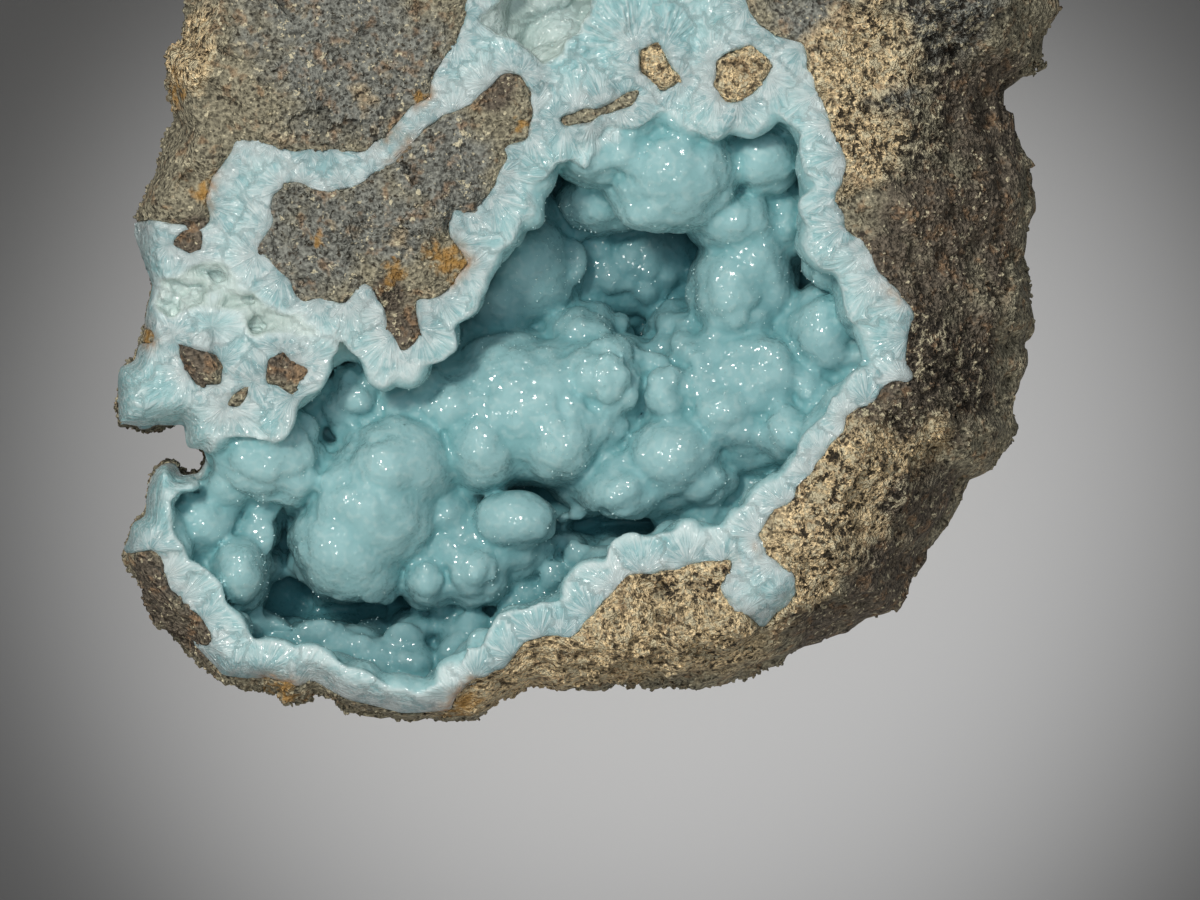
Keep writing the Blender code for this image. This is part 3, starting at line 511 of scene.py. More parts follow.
def pocketField(region, hollows):
    z = gridZ[None, None, :]
    floor = face["veinFloor"] + face["veinSlope"] * flatY
    veins = smoothMin(region[:, :, None] + 0 * z, z - floor[:, :, None], 2.0)
    deep = np.full(wholeShape, -6.0, np.float32)
    addBlobs(deep, crust["pocket"] + crust["smallPockets"], 2.0)
    lining = np.minimum(hollows + crust["least"], 27.0 - z)
    found = np.maximum(np.maximum(veins, deep), lining)
    inside = insideOutline(flatX, flatY, specimen["outline"])
    skin = frayed(inside - face["skin"], [(-0.4, 3.0, 43)]) + np.clip(flatY + 38.0, 0, 9) * 2.0
    return np.minimum(found, skin[:, :, None])


def hollowField():
    z = gridZ[None, None, :]
    edge = insideOutline(flatX, flatY, face["hollowEdge"])
    air = np.minimum(frayed(edge, face["hollowRough"])[:, :, None], z - face["hollowFloor"])
    thick = crust["thickness"]
    shrunk = [(x, y, z0, a - thick, b - thick, c - thick) for x, y, z0, a, b, c in crust["pocket"]]
    air = addBlobs(air.astype(np.float32), shrunk, 2.0)
    for outline, floor in zip(face["smallHollows"], crust["smallFloors"]):
        small = insideOutline(flatX, flatY, outline) + 0.2 * flatCloud(2.0, 52)
        air = np.maximum(air, np.minimum(small[:, :, None], z - floor))
    return air


def airField(hollows, pocket):
    # the hollows less the lumps that stand in them
    size, height = crust["wallLump"]
    air = hollows - cellBumps(hollows, 2.6, size, height, 61)
    lumps = np.full(wholeShape, -6.0, np.float32)
    wider = crust["swollen"]
    tops = [(x, y, top - deep, wide * wider, high * wider, deep)
            for x, y, top, wide, high, deep in crust["cores"] + crust["lumps"]]
    addBlobs(lumps, tops, crust["merge"])
    lumps += 0.35 * deepCloud(5.0, 62)
    size, height = crust["smallLump"]
    bare = [np.exp(-((flatX - x) ** 2 + (flatY - y) ** 2) / reach**2)
            for x, y, reach in crust["smoothLumps"]]
    uneven = np.clip(0.85 + 0.5 * deepCloud(9.0, 64), 0.4, 1.3)
    uneven = uneven * (1 - 0.85 * np.max(bare, axis=0))[:, :, None]
    lumps += cellBumps(lumps, 1.4, size, height, 63, uneven)
    lumps += cellBumps(lumps, 1.0, size * 0.5, height * 0.3, 65, uneven)
    clefts = addBlobs(np.full(wholeShape, -6.0, np.float32), crust["clefts"], 0.5)
    size, height = crust["cleftLump"]
    clefts = np.minimum(clefts - cellBumps(clefts, 2.6, size, height, 66), pocket - crust["cleftLining"])
    return smoothMax(smoothMin(air, -lumps, 0.4), clefts, 0.8)


# Skins from fields

def skinOf(field):
    # one point in each cell that the surface crosses, joined across the crossed edges
    solid = field > 0
    cells = np.zeros(tuple(n - 1 for n in field.shape), np.uint8)
    corners = list(np.ndindex(2, 2, 2))
    for i, j, k in corners:
        cells += solid[i:i + cells.shape[0], j:j + cells.shape[1], k:k + cells.shape[2]]
    crossed = (cells > 0) & (cells < 8)
    where = np.argwhere(crossed)
    numbers = np.full(cells.shape, -1, np.int32)
    numbers[crossed] = np.arange(len(where))
    values = [field[tuple((where + corner).T)] for corner in corners]
    total = np.zeros((len(where), 3))
    count = np.zeros(len(where))
    for a in range(8):
        for axis in range(3):
            if corners[a][axis]:
                continue
            b = a + (4, 2, 1)[axis]
            cut = (values[a] > 0) != (values[b] > 0)
            share = np.where(cut, values[a] / np.where(cut, values[a] - values[b], 1), 0)
            point = np.tile(np.array(corners[a], float), (len(where), 1))
            point[:, axis] += share
            total += point * cut[:, None]
            count += cut
    places = gridLow + specimen["cell"] * (where + total / count[:, None])
    quads = []
    for axis in range(3):
        first = [slice(1, -1)] * 3
        first[axis] = slice(0, -1)
        second = list(first)
        second[axis] = slice(1, None)
        here, there = solid[tuple(first)], solid[tuple(second)]
        u, v = ((1, 2), (2, 0), (0, 1))[axis]
        for leaving in (True, False):
            edges = np.argwhere(here & ~there if leaving else there & ~here)
            edges = edges + np.array([0 if n == axis else 1 for n in range(3)])
            ring = []
            for du, dv in ((-1, -1), (0, -1), (0, 0), (-1, 0)):
                cell = edges.copy()
                cell[:, u] += du
                cell[:, v] += dv
                ring.append(numbers[tuple(cell.T)])
            quads.append(np.stack(ring if leaving else ring[::-1], axis=1))
    return places, np.concatenate(quads)


def makePiece(name, places, quads):
    mesh = bpy.data.meshes.new(name)
    mesh.from_pydata((places * mm).tolist(), [], quads.tolist())
    mesh.update()
    piece = bpy.data.objects.new(name, mesh)
    bpy.context.scene.collection.objects.link(piece)
    return piece


def keepLargest(piece):
    # crumbs beside the main skin go
    shape = bmesh.new()
    shape.from_mesh(piece.data)
    unseen = set(shape.verts)
    groups = []
    while unseen:
        front = [unseen.pop()]
        group = list(front)
        while front:
            for edge in front.pop().link_edges:
                for vertex in edge.verts:
                    if vertex in unseen:
                        unseen.discard(vertex)
                        group.append(vertex)
                        front.append(vertex)
        groups.append(group)
    groups.sort(key=len)
    bmesh.ops.delete(shape, geom=[v for group in groups[:-1] for v in group], context="VERTS")
    shape.to_mesh(piece.data)
    shape.free()
    print(piece.name, "crumbs dropped:", len(groups) - 1)


def placesOf(piece):
    flat = np.empty(len(piece.data.vertices) * 3, np.float32)
    piece.data.vertices.foreach_get("co", flat)
    return flat.reshape(-1, 3).astype(float) / mm


def giveNumbers(piece, name, values):
    attribute = piece.data.attributes.new(name, "FLOAT", "POINT")
    attribute.data.foreach_set("value", np.asarray(values, np.float32))


def settle(piece):
    graph = bpy.context.evaluated_depsgraph_get()
    graph.update()
    mesh = bpy.data.meshes.new_from_object(piece.evaluated_get(graph))
    piece.modifiers.clear()
    piece.data = mesh


def restOnBase(piece):
    # nothing hangs below the flat back
    for vertex in piece.data.vertices:
        vertex.co.z = max(vertex.co.z, 0.0)


def countTriangles(piece):
    piece.data.calc_loop_triangles()
    return len(piece.data.loop_triangles)


def soften(piece, times, amount):
    change = piece.modifiers.new("soften", "SMOOTH")
    change.factor = amount
    change.iterations = times
    settle(piece)


def thinHidden(piece, hidden, most):
    # fewer triangles where nobody looks: inside the pocket and underneath
    group = piece.vertex_groups.new(name="hidden")
    for level in (0.0, 1.0):
        chosen = np.flatnonzero(hidden if level else ~hidden)
        group.add(chosen.tolist(), level, "REPLACE")
    change = piece.modifiers.new("fewer", "DECIMATE")
    change.vertex_group = "hidden"
    change.vertex_group_factor = 10.0
    change.ratio = 1.0 - 0.8 * hidden.mean()
    settle(piece)
    piece.vertex_groups.clear()
    change = piece.modifiers.new("fewer", "DECIMATE")
    change.ratio = min(1.0, most / countTriangles(piece))
    settle(piece)
    restOnBase(piece)
    print(piece.name, countTriangles(piece), "triangles")


region = crustRegion()
whole = wholePiece(region)
hollows = hollowField()
pocket = pocketField(region, hollows)
air = airField(hollows, pocket)
leastWorn, moreWorn = crust["lip"]
lip = leastWorn + moreWorn / (1 + np.exp(-(flatX * 0.5 + flatY + 8.0) / 4.0))
crustSolid = np.minimum(smoothMin(whole, -air, lip[:, :, None]), pocket + crust["overlap"])
rockSolid = np.minimum(whole, -pocket)
print("fields done")

meshing = {
    "most": 196000,  # triangles in a piece
    "inWall": {"hemimorphite_lining": 0.45, "broken_rock": 0.3},  # mm past the wall between them
    "below": 0.8,  # mm under the outside
    "underneath": 0.6,  # mm above the base
}


def meshPiece(name, solid, wall):
    piece = makePiece(name, *skinOf(solid))
    keepLargest(piece)
    soften(piece, 1, 0.6)
    places = placesOf(piece)
    inWall = sampleAt(wall, places) < meshing["inWall"][name]
    hidden = inWall & (sampleAt(whole, places) > meshing["below"])
    if name == "broken_rock":
        hidden |= places[:, 2] < meshing["underneath"]
    print(name, countTriangles(piece), "hidden", hidden.mean())
    thinHidden(piece, hidden, meshing["most"])
    return piece


crustPiece = meshPiece("hemimorphite_lining", crustSolid, pocket)
rockPiece = meshPiece("broken_rock", rockSolid, -pocket)


# Finishes

def linear(hexColour):
    parts = [int(hexColour[n:n + 2], 16) / 255 for n in (1, 3, 5)]
    return tuple(c / 12.92 if c < 0.04045 else ((c + 0.055) / 1.055) ** 2.4 for c in parts) + (1.0,)


def perMetre(sizeMm):
    # texture scale that repeats once in this many millimetres
    return 1000.0 / sizeMm


def addNode(tree, kind, inputs=None, **settings):
    node = tree.nodes.new(kind)
    for name, value in settings.items():
        setattr(node, name, value)
    for name, value in (inputs or {}).items():
        if isinstance(value, bpy.types.NodeSocket):
            tree.links.new(value, node.inputs[name])
        else:
            node.inputs[name].default_value = value
    return node


def newMaterial(name):
    material = bpy.data.materials.new(name)
    material.use_nodes = True
    material.node_tree.nodes.clear()
    return material, material.node_tree


# Hemimorphite: zinc silicate grown as botryoidal crust, of radiating fibres ending in minute
# crystal faces. To the eye: milky blue-green that light sinks into, with fine glints; where it is
# broken across, paler and silky, with fibres fanning out from the rock.
hemimorphite = {
    "colours": {
        # the tops, sides and crease colours grade from the convex lumps to painted shade in the crevices;
        # deep is painted shade far down in the hollow and in shut-in places
        "tops": "#92bcbf", "sides": "#80b0b4", "creaseShade": "#6ba2a6", "deep": "#316870",
        "frost": "#d5e3df", "milky": "#b2c1ba", "white": "#bacbcc", "glassy": "#7da6ab",
        "edge": "#d2e0e0", "thick": "#8cbfc2", "rust": "#b07a35",
    },
    "ior": 1.62, "glintRoughness": 0.18,
    "glow": 0.4, "glowDepth": 0.0014,  # metres that light spreads inside
    "facet": 0.27,  # mm; the real faces are 0.05 to 0.3 mm, drawn coarser so that they show
    "fibre": 0.42,  # mm across a bundle; single fibres are too fine to show
    "crumbTone": 0.75,  # mm across the crumbs that differ in tone
    "fanTurn": (0.0035, 0.12),  # how fast the pattern of a fan changes round it and along it
    # mm across, detail and roughness
    "noises": {"cloudy": (5.0, 2.0, 0.5), "sugar": (0.7, 0.0, 0.5), "blotch": (2.4, 3.0, 0.65)},
    # what is measured, where it starts and ends to count, and what it gives there
    "ramps": {
        # the first ramp here turns the crease measure into painted shade in the crevices
        "creaseShadeAmount": ("crease", 0.40, 0.70, 0.0, 1.0), "frostiness": ("sugar", 0.5, 0.72, 0.0, 0.14),
        # the ramp on the shut measure gives painted shade where the crust closes round
        "sugary": ("cloudy", 0.42, 0.6, 0.0, 1.0), "enclosedShadeAmount": ("shut", 0.55, 0.85, 0.0, 0.35),
        "band": ("growth", 1.0, 3.0, 0.0, 0.6), "rim": ("rind", 0.25, 1.1, 0.7, 0.0),
        # the fibre ramp whitens the fibres in streaks: painted glints of silky sheen
        "fibreGlintAmount": ("fibres", 0.45, 0.68, 0.0, 0.6), "drusy": ("cloudy", 0.38, 0.56, 0.3, 1.0),
        "facetTilt": ("broken", 0.0, 1.0, 0.85, 1.0625), "gloss": ("broken", 0.0, 1.0, 0.65, 0.6),
    },
    "mixedRamps": {
        "upper": ("toneAndCreaseShade", 0.0, 0.5, 0.0, 1.0), "lower": ("toneAndCreaseShade", 0.45, 1.0, 0.0, 1.0),
        "clarity": ("crumbled", 0.68, 1.02, 0.0, 0.85),
    },
    # from a first colour, each measure mixes in another colour
    "layers": {
        "milk": ("milky", [("sugary", "frost")]),
        # the skin steps from the tops colour into painted crease shade, then into painted shade deep in the
        # hollow
        "skin": ("tops", [("upper", "sides"), ("lower", "creaseShade"), ("frostiness", "frost"),
                          ("milky", "milk"), ("shade", "deep")]),
        "fracture": ("white", [("clarity", "glassy"), ("band", "thick"), ("rim", "edge"),
                               ("fibreGlintAmount", "edge")]),
        "surface": ("skin", [("broken", "fracture"), ("ruddy", "rust")]),
    },
}


def hemimorphiteMaterial():
    material, tree = newMaterial("botryoidal_hemimorphite")
    finish = hemimorphite
    place = addNode(tree, "ShaderNodeTexCoord").outputs["Object"]
    names = ("broken", "rind", "growth", "crease", "shut", "deep", "rust", "fanTone", "milky")
    read = {name: addNode(tree, "ShaderNodeAttribute", attribute_name=name).outputs["Fac"]
            for name in names}
    nucleus = addNode(tree, "ShaderNodeAttribute", attribute_name="nucleus").outputs["Vector"]
    normal = addNode(tree, "ShaderNodeNewGeometry").outputs["Normal"]
    for name, (size, detail, roughness) in finish["noises"].items():
        read[name] = addNode(tree, "ShaderNodeTexNoise", {
            "Vector": place, "Scale": perMetre(size), "Detail": detail,
            "Roughness": roughness}).outputs["Fac"]

    # fibres of the broken edge, each fan spreading from its own nucleus
    away = addNode(tree, "ShaderNodeVectorMath", {0: place, 1: nucleus},
                   operation="SUBTRACT").outputs[0]
    parts = addNode(tree, "ShaderNodeSeparateXYZ", {0: away}).outputs
    turn = addNode(tree, "ShaderNodeMath", {0: parts[1], 1: parts[0]}, operation="ARCTAN2").outputs[0]
    reach = addNode(tree, "ShaderNodeVectorMath", {0: away}, operation="LENGTH").outputs["Value"]
    scaled = [addNode(tree, "ShaderNodeMath", {0: value, 1: pace}, operation="MULTIPLY").outputs[0]
              for value, pace in zip((turn, reach), finish["fanTurn"])]
    along = addNode(tree, "ShaderNodeCombineXYZ", dict(enumerate(scaled))).outputs[0]
    fan = addNode(tree, "ShaderNodeVectorMath", {0: along, 1: nucleus}, operation="ADD").outputs[0]
    read["fibres"] = addNode(tree, "ShaderNodeTexNoise", {
        "Vector": fan, "Scale": perMetre(finish["fibre"]), "Detail": 2.0,
        "Roughness": 0.6}).outputs["Fac"]

    # measures made of others: name, first one, factor, what is added, and whether it stays in 0 to 1
    sums = (
        # wander is random tone; the sum after it joins that tone to the painted crease shade
        ("wander", "cloudy", 0.7, -0.35, False), ("toneAndCreaseShade", "creaseShadeAmount", 1.0, "wander", True),
        ("mixedTone", "fanTone", 0.35, "blotch", False),
        ("crumbled", "crumbTone", 0.3, "mixedTone", False),
        ("shade", "recessShadeAmount", 0.95, 0.0, False), ("ruddy", "rust", "sugar", 0.0, False),
        ("grainy", "sugar", "milky", 0.0, False), ("crumbly", "grainy", 1.3, "fibres", False),
        ("smooth", "sugar", 0.3, 0.0, False),
    )
    crumb = addNode(tree, "ShaderNodeTexVoronoi", {
        "Vector": place, "Scale": perMetre(finish["crumbTone"])}).outputs["Color"]
    read["crumbTone"] = addNode(tree, "ShaderNodeSeparateColor", {0: crumb}).outputs[0]
    for name, (measure, start, end, least, most) in finish["ramps"].items():
        read[name] = addNode(tree, "ShaderNodeMapRange", {
            "Value": read[measure], "From Min": start, "From Max": end,
            "To Min": least, "To Max": most}).outputs[0]
    # painted shade: the larger of the shut-in and the deep-in-the-hollow amounts
    read["recessShadeAmount"] = addNode(tree, "ShaderNodeMath", {0: read["enclosedShadeAmount"], 1: read["deep"]},
                           operation="MAXIMUM").outputs[0]
    for name, first, factor, added, clamped in sums:
        read[name] = addNode(tree, "ShaderNodeMath", {
            0: read[first], 1: read.get(factor, factor), 2: read.get(added, added)},
            operation="MULTIPLY_ADD", use_clamp=clamped).outputs[0]
    for name, (measure, start, end, least, most) in finish["mixedRamps"].items():
        read[name] = addNode(tree, "ShaderNodeMapRange", {
            "Value": read[measure], "From Min": start, "From Max": end,
            "To Min": least, "To Max": most}).outputs[0]

    tints = {name: linear(colour) for name, colour in finish["colours"].items()}
    for layer, (first, steps) in finish["layers"].items():
        colour = tints[first]
        for measure, over in steps:
            colour = addNode(tree, "ShaderNodeMix", {0: read[measure], 6: colour, 7: tints[over]},
                             data_type="RGBA").outputs[2]
        tints[layer] = colour

    # grain, and minute crystal faces that each tilt their own way
    coarse = addNode(tree, "ShaderNodeMath", {0: read["broken"], 1: read["milky"]},
                     operation="MAXIMUM").outputs[0]
    relief = addNode(tree, "ShaderNodeMix", {0: coarse, 2: read["smooth"], 3: read["crumbly"]},
                     data_type="FLOAT").outputs[0]
    bumped = addNode(tree, "ShaderNodeBump", {
        "Strength": 0.6, "Distance": 0.0005, "Height": relief, "Normal": normal}).outputs[0]
    faces = addNode(tree, "ShaderNodeTexVoronoi", {
        "Vector": place, "Scale": perMetre(finish["facet"])}).outputs["Color"]
    tilt = addNode(tree, "ShaderNodeVectorMath", {0: faces, 1: (0.5, 0.5, 0.5)},
                   operation="SUBTRACT").outputs[0]
    sized = addNode(tree, "ShaderNodeVectorMath", {0: tilt, "Scale": read["facetTilt"]},
                    operation="SCALE").outputs[0]
    leaning = addNode(tree, "ShaderNodeVectorMath", {0: bumped, 1: sized}, operation="ADD").outputs[0]
    facing = addNode(tree, "ShaderNodeVectorMath", {0: leaning}, operation="NORMALIZE").outputs[0]
    shader = addNode(tree, "ShaderNodeBsdfPrincipled", subsurface_method="BURLEY", inputs={
        "Base Color": tints["surface"], "Roughness": read["gloss"], "IOR": finish["ior"],
        "Subsurface Weight": finish["glow"], "Subsurface Radius": (0.8, 1.0, 1.0),
        "Subsurface Scale": finish["glowDepth"], "Normal": bumped,
        "Coat Weight": read["drusy"], "Coat IOR": finish["ior"],
        "Coat Roughness": finish["glintRoughness"], "Coat Normal": facing})
    addNode(tree, "ShaderNodeOutputMaterial", {"Surface": shader.outputs[0]})
    return material


# Drusy hemimorphite: single blades standing on the lumps, glassy and almost colourless
druse = {
    "colour": "#cfe6e3", "ior": 1.62, "roughness": 0.12,
    "length": 0.3, "width": 0.16, "perSquareMm": 0.8, "seed": 5,
}


def clearBladeMaterial():
    material, tree = newMaterial("clear_hemimorphite_blades")
    place = addNode(tree, "ShaderNodeTexCoord").outputs["Object"]
    milk = addNode(tree, "ShaderNodeTexNoise", {
        "Vector": place, "Scale": perMetre(2.2)}).outputs["Fac"]
    cloudy = addNode(tree, "ShaderNodeMix", {
        0: milk, 6: linear(druse["colour"]), 7: linear(hemimorphite["colours"]["tops"])},
        data_type="RGBA").outputs[2]
    shader = addNode(tree, "ShaderNodeBsdfPrincipled", {
        "Base Color": cloudy, "Roughness": druse["roughness"], "IOR": druse["ior"]})
    addNode(tree, "ShaderNodeOutputMaterial", {"Surface": shader.outputs[0]})
    return material


# Matrix: fine-grained dolomitic rock, broken with a hammer and stained by iron and manganese.
# To the eye: matt, speckled with dark and pale grains of 0.3 to 0.8 mm, ochre in patches.
matrix = {
    "ground": "#88836f", "slate": "#777972", "buff": "#e9d1a4", "umber": "#625a4e",
    # pit is painted shade in the pits between the raised crystals
    "paleGrain": "#dcd3b2", "darkGrain": "#1d1a15", "pitShade": "#4a4130", "brown": "#8c6f51",
    "ochre": "#b0853f", "roughness": 0.85, "ior": 1.55,
    # mm across, detail and roughness of patches, blotches, crystals with their pits, and grains
    "noises": {
        "patches": (5.0, 3.0, 0.65), "blotches": (1.85, 2.0, 0.7), "clots": (1.0, 3.0, 0.72),
        "grains": (0.42, 1.0, 0.6), "dots": (0.714, 1.0, 0.5),
    },
    "marks": [
        # colour, noise, way it counts, where it starts, its zone, share the zone adds
        ("paleGrain", "clots", 1.0, 0.62, "weathered", 0.08),
        # this mark paints shade into the pits between the raised crystals, where the bump is low
        ("pitShade", "clots", -1.0, -0.38, "weathered", 0.07),
        ("darkGrain", "clots", -1.0, -0.36, "soot", 0.11),
        ("darkGrain", "dots", -1.0, -0.335, "soot", 0.05),
        ("paleGrain", "dots", 1.0, 0.70, "buff", 0.08),
    ],
}


def matrixMaterial():
    material, tree = newMaterial("iron_stained_dolomite")
    finish = matrix
    place = addNode(tree, "ShaderNodeTexCoord").outputs["Object"]
    read = {name: addNode(tree, "ShaderNodeAttribute", attribute_name=name).outputs["Fac"]
            for name in ("slate", "buff", "umber", "ochre", "soot", "crease")}
    noises = {name: addNode(tree, "ShaderNodeTexNoise", {
        "Vector": place, "Scale": perMetre(size), "Detail": detail,
        "Roughness": roughness}).outputs["Fac"]
        for name, (size, detail, roughness) in finish["noises"].items()}

    # ground colour by zone, its borders frayed
    colour = linear(finish["ground"])
    fray = addNode(tree, "ShaderNodeMath", {0: noises["patches"], 1: 2.2, 2: -1.1},
                   operation="MULTIPLY_ADD").outputs[0]
    zones = {}
    for name in ("slate", "buff", "umber", "soot"):
        amount = addNode(tree, "ShaderNodeMath", {0: read[name], 1: fray}, operation="ADD").outputs[0]
        zones[name] = addNode(tree, "ShaderNodeMapRange", {
            "Value": amount, "From Min": 0.2, "From Max": 0.8}).outputs[0]
        if name != "soot":
            colour = addNode(tree, "ShaderNodeMix", {
                0: zones[name], 6: colour, 7: linear(finish[name])}, data_type="RGBA").outputs[2]
    zones["weathered"] = addNode(tree, "ShaderNodeMath", {0: zones["buff"], 1: zones["soot"]},
                                 operation="MAXIMUM").outputs[0]

    # brown blotches, then grain by grain lighter and darker
    browned = addNode(tree, "ShaderNodeMapRange", {
        "Value": noises["blotches"], "From Min": 0.54, "From Max": 0.68, "To Max": 0.6}).outputs[0]
    colour = addNode(tree, "ShaderNodeMix", {0: browned, 6: colour, 7: linear(finish["brown"])},
                     data_type="RGBA").outputs[2]
    tone = addNode(tree, "ShaderNodeMapRange", {
        "Value": noises["grains"], "From Min": 0.3, "From Max": 0.7,
        "To Min": 0.35, "To Max": 1.65}).outputs[0]
    toneColour = addNode(tree, "ShaderNodeCombineColor", {0: tone, 1: tone, 2: tone}).outputs[0]
    colour = addNode(tree, "ShaderNodeMix", {0: 1.0, 6: colour, 7: toneColour},
                     data_type="RGBA", blend_type="MULTIPLY").outputs[2]
    for name, noise, way, start, zone, added in finish["marks"]:
        wanted = addNode(tree, "ShaderNodeMath", {0: zones[zone], 1: added, 2: -start},
                         operation="MULTIPLY_ADD").outputs[0]
        over = addNode(tree, "ShaderNodeMath", {0: noises[noise], 1: way, 2: wanted},
                       operation="MULTIPLY_ADD").outputs[0]
        shown = addNode(tree, "ShaderNodeMapRange", {
            "Value": over, "From Min": 0.0, "From Max": 0.04, "To Max": 0.75}).outputs[0]
        colour = addNode(tree, "ShaderNodeMix", {0: shown, 6: colour, 7: linear(finish[name])},
                         data_type="RGBA").outputs[2]

    # rust in ragged patches, and painted shade in the crevices, in the dark grain colour
    rusty = addNode(tree, "ShaderNodeMath", {0: noises["blotches"], 1: 4.0, 2: -2.3},
                    operation="MULTIPLY_ADD").outputs[0]
    ragged = addNode(tree, "ShaderNodeMath", {0: read["ochre"], 1: rusty}, operation="ADD").outputs[0]
    rust = addNode(tree, "ShaderNodeMapRange", {
        "Value": ragged, "From Min": 0.3, "From Max": 0.9, "To Max": 0.75}).outputs[0]
    stained = addNode(tree, "ShaderNodeMath", {0: rust, 1: read["ochre"]},
                      operation="MULTIPLY").outputs[0]
    rockCreaseShade = addNode(tree, "ShaderNodeMapRange", {
        "Value": read["crease"], "From Min": 0.5, "From Max": 0.72, "To Max": 0.6}).outputs[0]
    for amount, name in ((stained, "ochre"), (rockCreaseShade, "darkGrain")):
        colour = addNode(tree, "ShaderNodeMix", {0: amount, 6: colour, 7: linear(finish[name])},
                         data_type="RGBA").outputs[2]

    # crystals stand up and pits lie between them where the rock is weathered
    bare = addNode(tree, "ShaderNodeMath", {0: read["buff"], 1: read["soot"]},
                   operation="MAXIMUM").outputs[0]
    stand = addNode(tree, "ShaderNodeMath", {0: bare, 1: 1.6, 2: 0.5},
                    operation="MULTIPLY_ADD").outputs[0]
    knobs = addNode(tree, "ShaderNodeMath", {0: noises["clots"], 1: stand},
                    operation="MULTIPLY").outputs[0]
    height = addNode(tree, "ShaderNodeMath", {0: noises["grains"], 1: 0.35, 2: knobs},
                     operation="MULTIPLY_ADD").outputs[0]
    bumped = addNode(tree, "ShaderNodeBump", {
        "Strength": 1.0, "Distance": 0.0013, "Height": height}).outputs[0]
    shader = addNode(tree, "ShaderNodeBsdfPrincipled", {
        "Base Color": colour, "Roughness": finish["roughness"], "IOR": finish["ior"],
        "Normal": bumped})
    addNode(tree, "ShaderNodeOutputMaterial", {"Surface": shader.outputs[0]})
    return material


# Stains on the rock: centre x, y and reach in millimetres
stains = {
    "ochre": [
        (-14.2, -0.1, 2.8), (-18.7, 11.6, 1.8), (-16.0, 15.9, 1.4), (-27.2, 1.5, 0.8),
        (-38.2, 6.1, 2.0), (-43.9, -7.7, 1.2), (-6.7, 13.6, 1.0), (-19.2, -1.4, 1.8),
        (-31.0, -42.5, 2.5), (-13.5, -44.5, 2.5), (30.3, -3.9, 1.3), (15.8, -28.9, 1.2),
        (-41.7, 17.0, 2.0), (-43.0, -21.5, 1.5),
    ],
    "umber": [
        (32.0, -3.0, 5.0), (37.0, -10.0, 7.0), (38.0, 4.0, 7.0), (31.0, -13.0, 4.0),
        (-43.5, -32.5, 3.5), (-40.0, -37.0, 3.0), (-38.5, -9.5, 3.0), (-30.0, -11.0, 2.6),
        (-18.4, -6.8, 2.4), (-20.2, -3.4, 1.8), (40.0, 16.0, 6.0), (-8.5, 17.0, 2.0),
        (-39.5, 2.0, 2.0), (34.0, -24.0, 4.0), (30.0, -32.5, 4.5), (24.0, -38.0, 4.0),
    ],
    "buff": [
        (26.0, -26.0, 6.0), (30.0, -20.0, 6.0), (-6.0, -40.0, 8.0), (3.0, -38.0, 8.0),
        (12.0, -36.0, 7.0), (20.0, -32.0, 5.0), (25.0, -17.0, 5.0), (27.0, 20.0, 5.0),
        (26.0, 10.0, 5.0), (30.0, 28.0, 4.0), (15.6, 18.4, 3.0), (30.0, -19.0, 6.0), (7.0, 19.6, 3.0),
        (2.0, -33.0, 5.0), (-40.0, 20.0, 3.0),
    ],
    "slate": [
        (-28.0, 2.5, 6.0), (-22.0, 20.0, 8.0), (-26.0, 25.0, 8.0), (-14.0, 9.0, 5.0),
        (-21.0, 4.0, 5.0), (22.0, 26.0, 5.0), (-38.6, 1.6, 2.0), (36.0, 26.0, 7.0), (30.0, 16.0, 3.0),
    ],
    "soot": [
        (8.0, -31.5, 2.0), (12.8, -32.0, 1.8), (14.5, -38.5, 2.5), (-20.2, -3.2, 1.2),
        (33.0, -8.0, 4.0), (27.0, -23.0, 6.0), (24.0, -29.0, 4.0), (37.0, -12.0, 4.0),
        (30.0, 12.0, 5.0), (33.0, 24.0, 7.0),
    ],
}


shakes = [1.3 * deepCloud(4.0, seed) + 0.6 * deepCloud(1.6, seed + 2) for seed in (91, 92)]


def faceAt(x, y):
    # height of the broken face over a point
    i = int(round((x - gridLow[0]) / specimen["cell"]))
    j = int(round((y - gridLow[1]) / specimen["cell"]))
    filled = np.flatnonzero(whole[i, j] > 0)
    return gridZ[filled[-1]] if len(filled) else 0.75 * specimen["faceHeight"]


def stainAmount(places, spots):
    # ragged patches: the place is shaken before its distance is taken
    shake = [sampleAt(field, places) for field in shakes]
    amount = np.zeros(len(places))
    for x, y, reach in spots:
        aside = min(1.0, reach / 3.0)
        dx = places[:, 0] + aside * shake[0] - x
        dy = places[:, 1] + aside * shake[1] - y
        down = np.maximum(faceAt(x, y) - places[:, 2] + shake[0] - 2.0, 0) / (reach + 3.0)
        near = (dx**2 + dy**2) / reach**2 + down**2
        amount = np.maximum(amount, np.exp(-0.7 * near * near))
    return amount


def boxBlur(values, reach):
    # mean over a cube of cells
    for axis in range(3):
        total = np.cumsum(values, axis=axis, dtype=np.float32)
        length = values.shape[axis]
        upper = np.take(total, np.minimum(np.arange(length) + reach, length - 1), axis=axis)
        lower = np.take(total, np.maximum(np.arange(length) - reach - 1, 0), axis=axis)
        values = (upper - lower) / (2 * reach + 1)
    return values


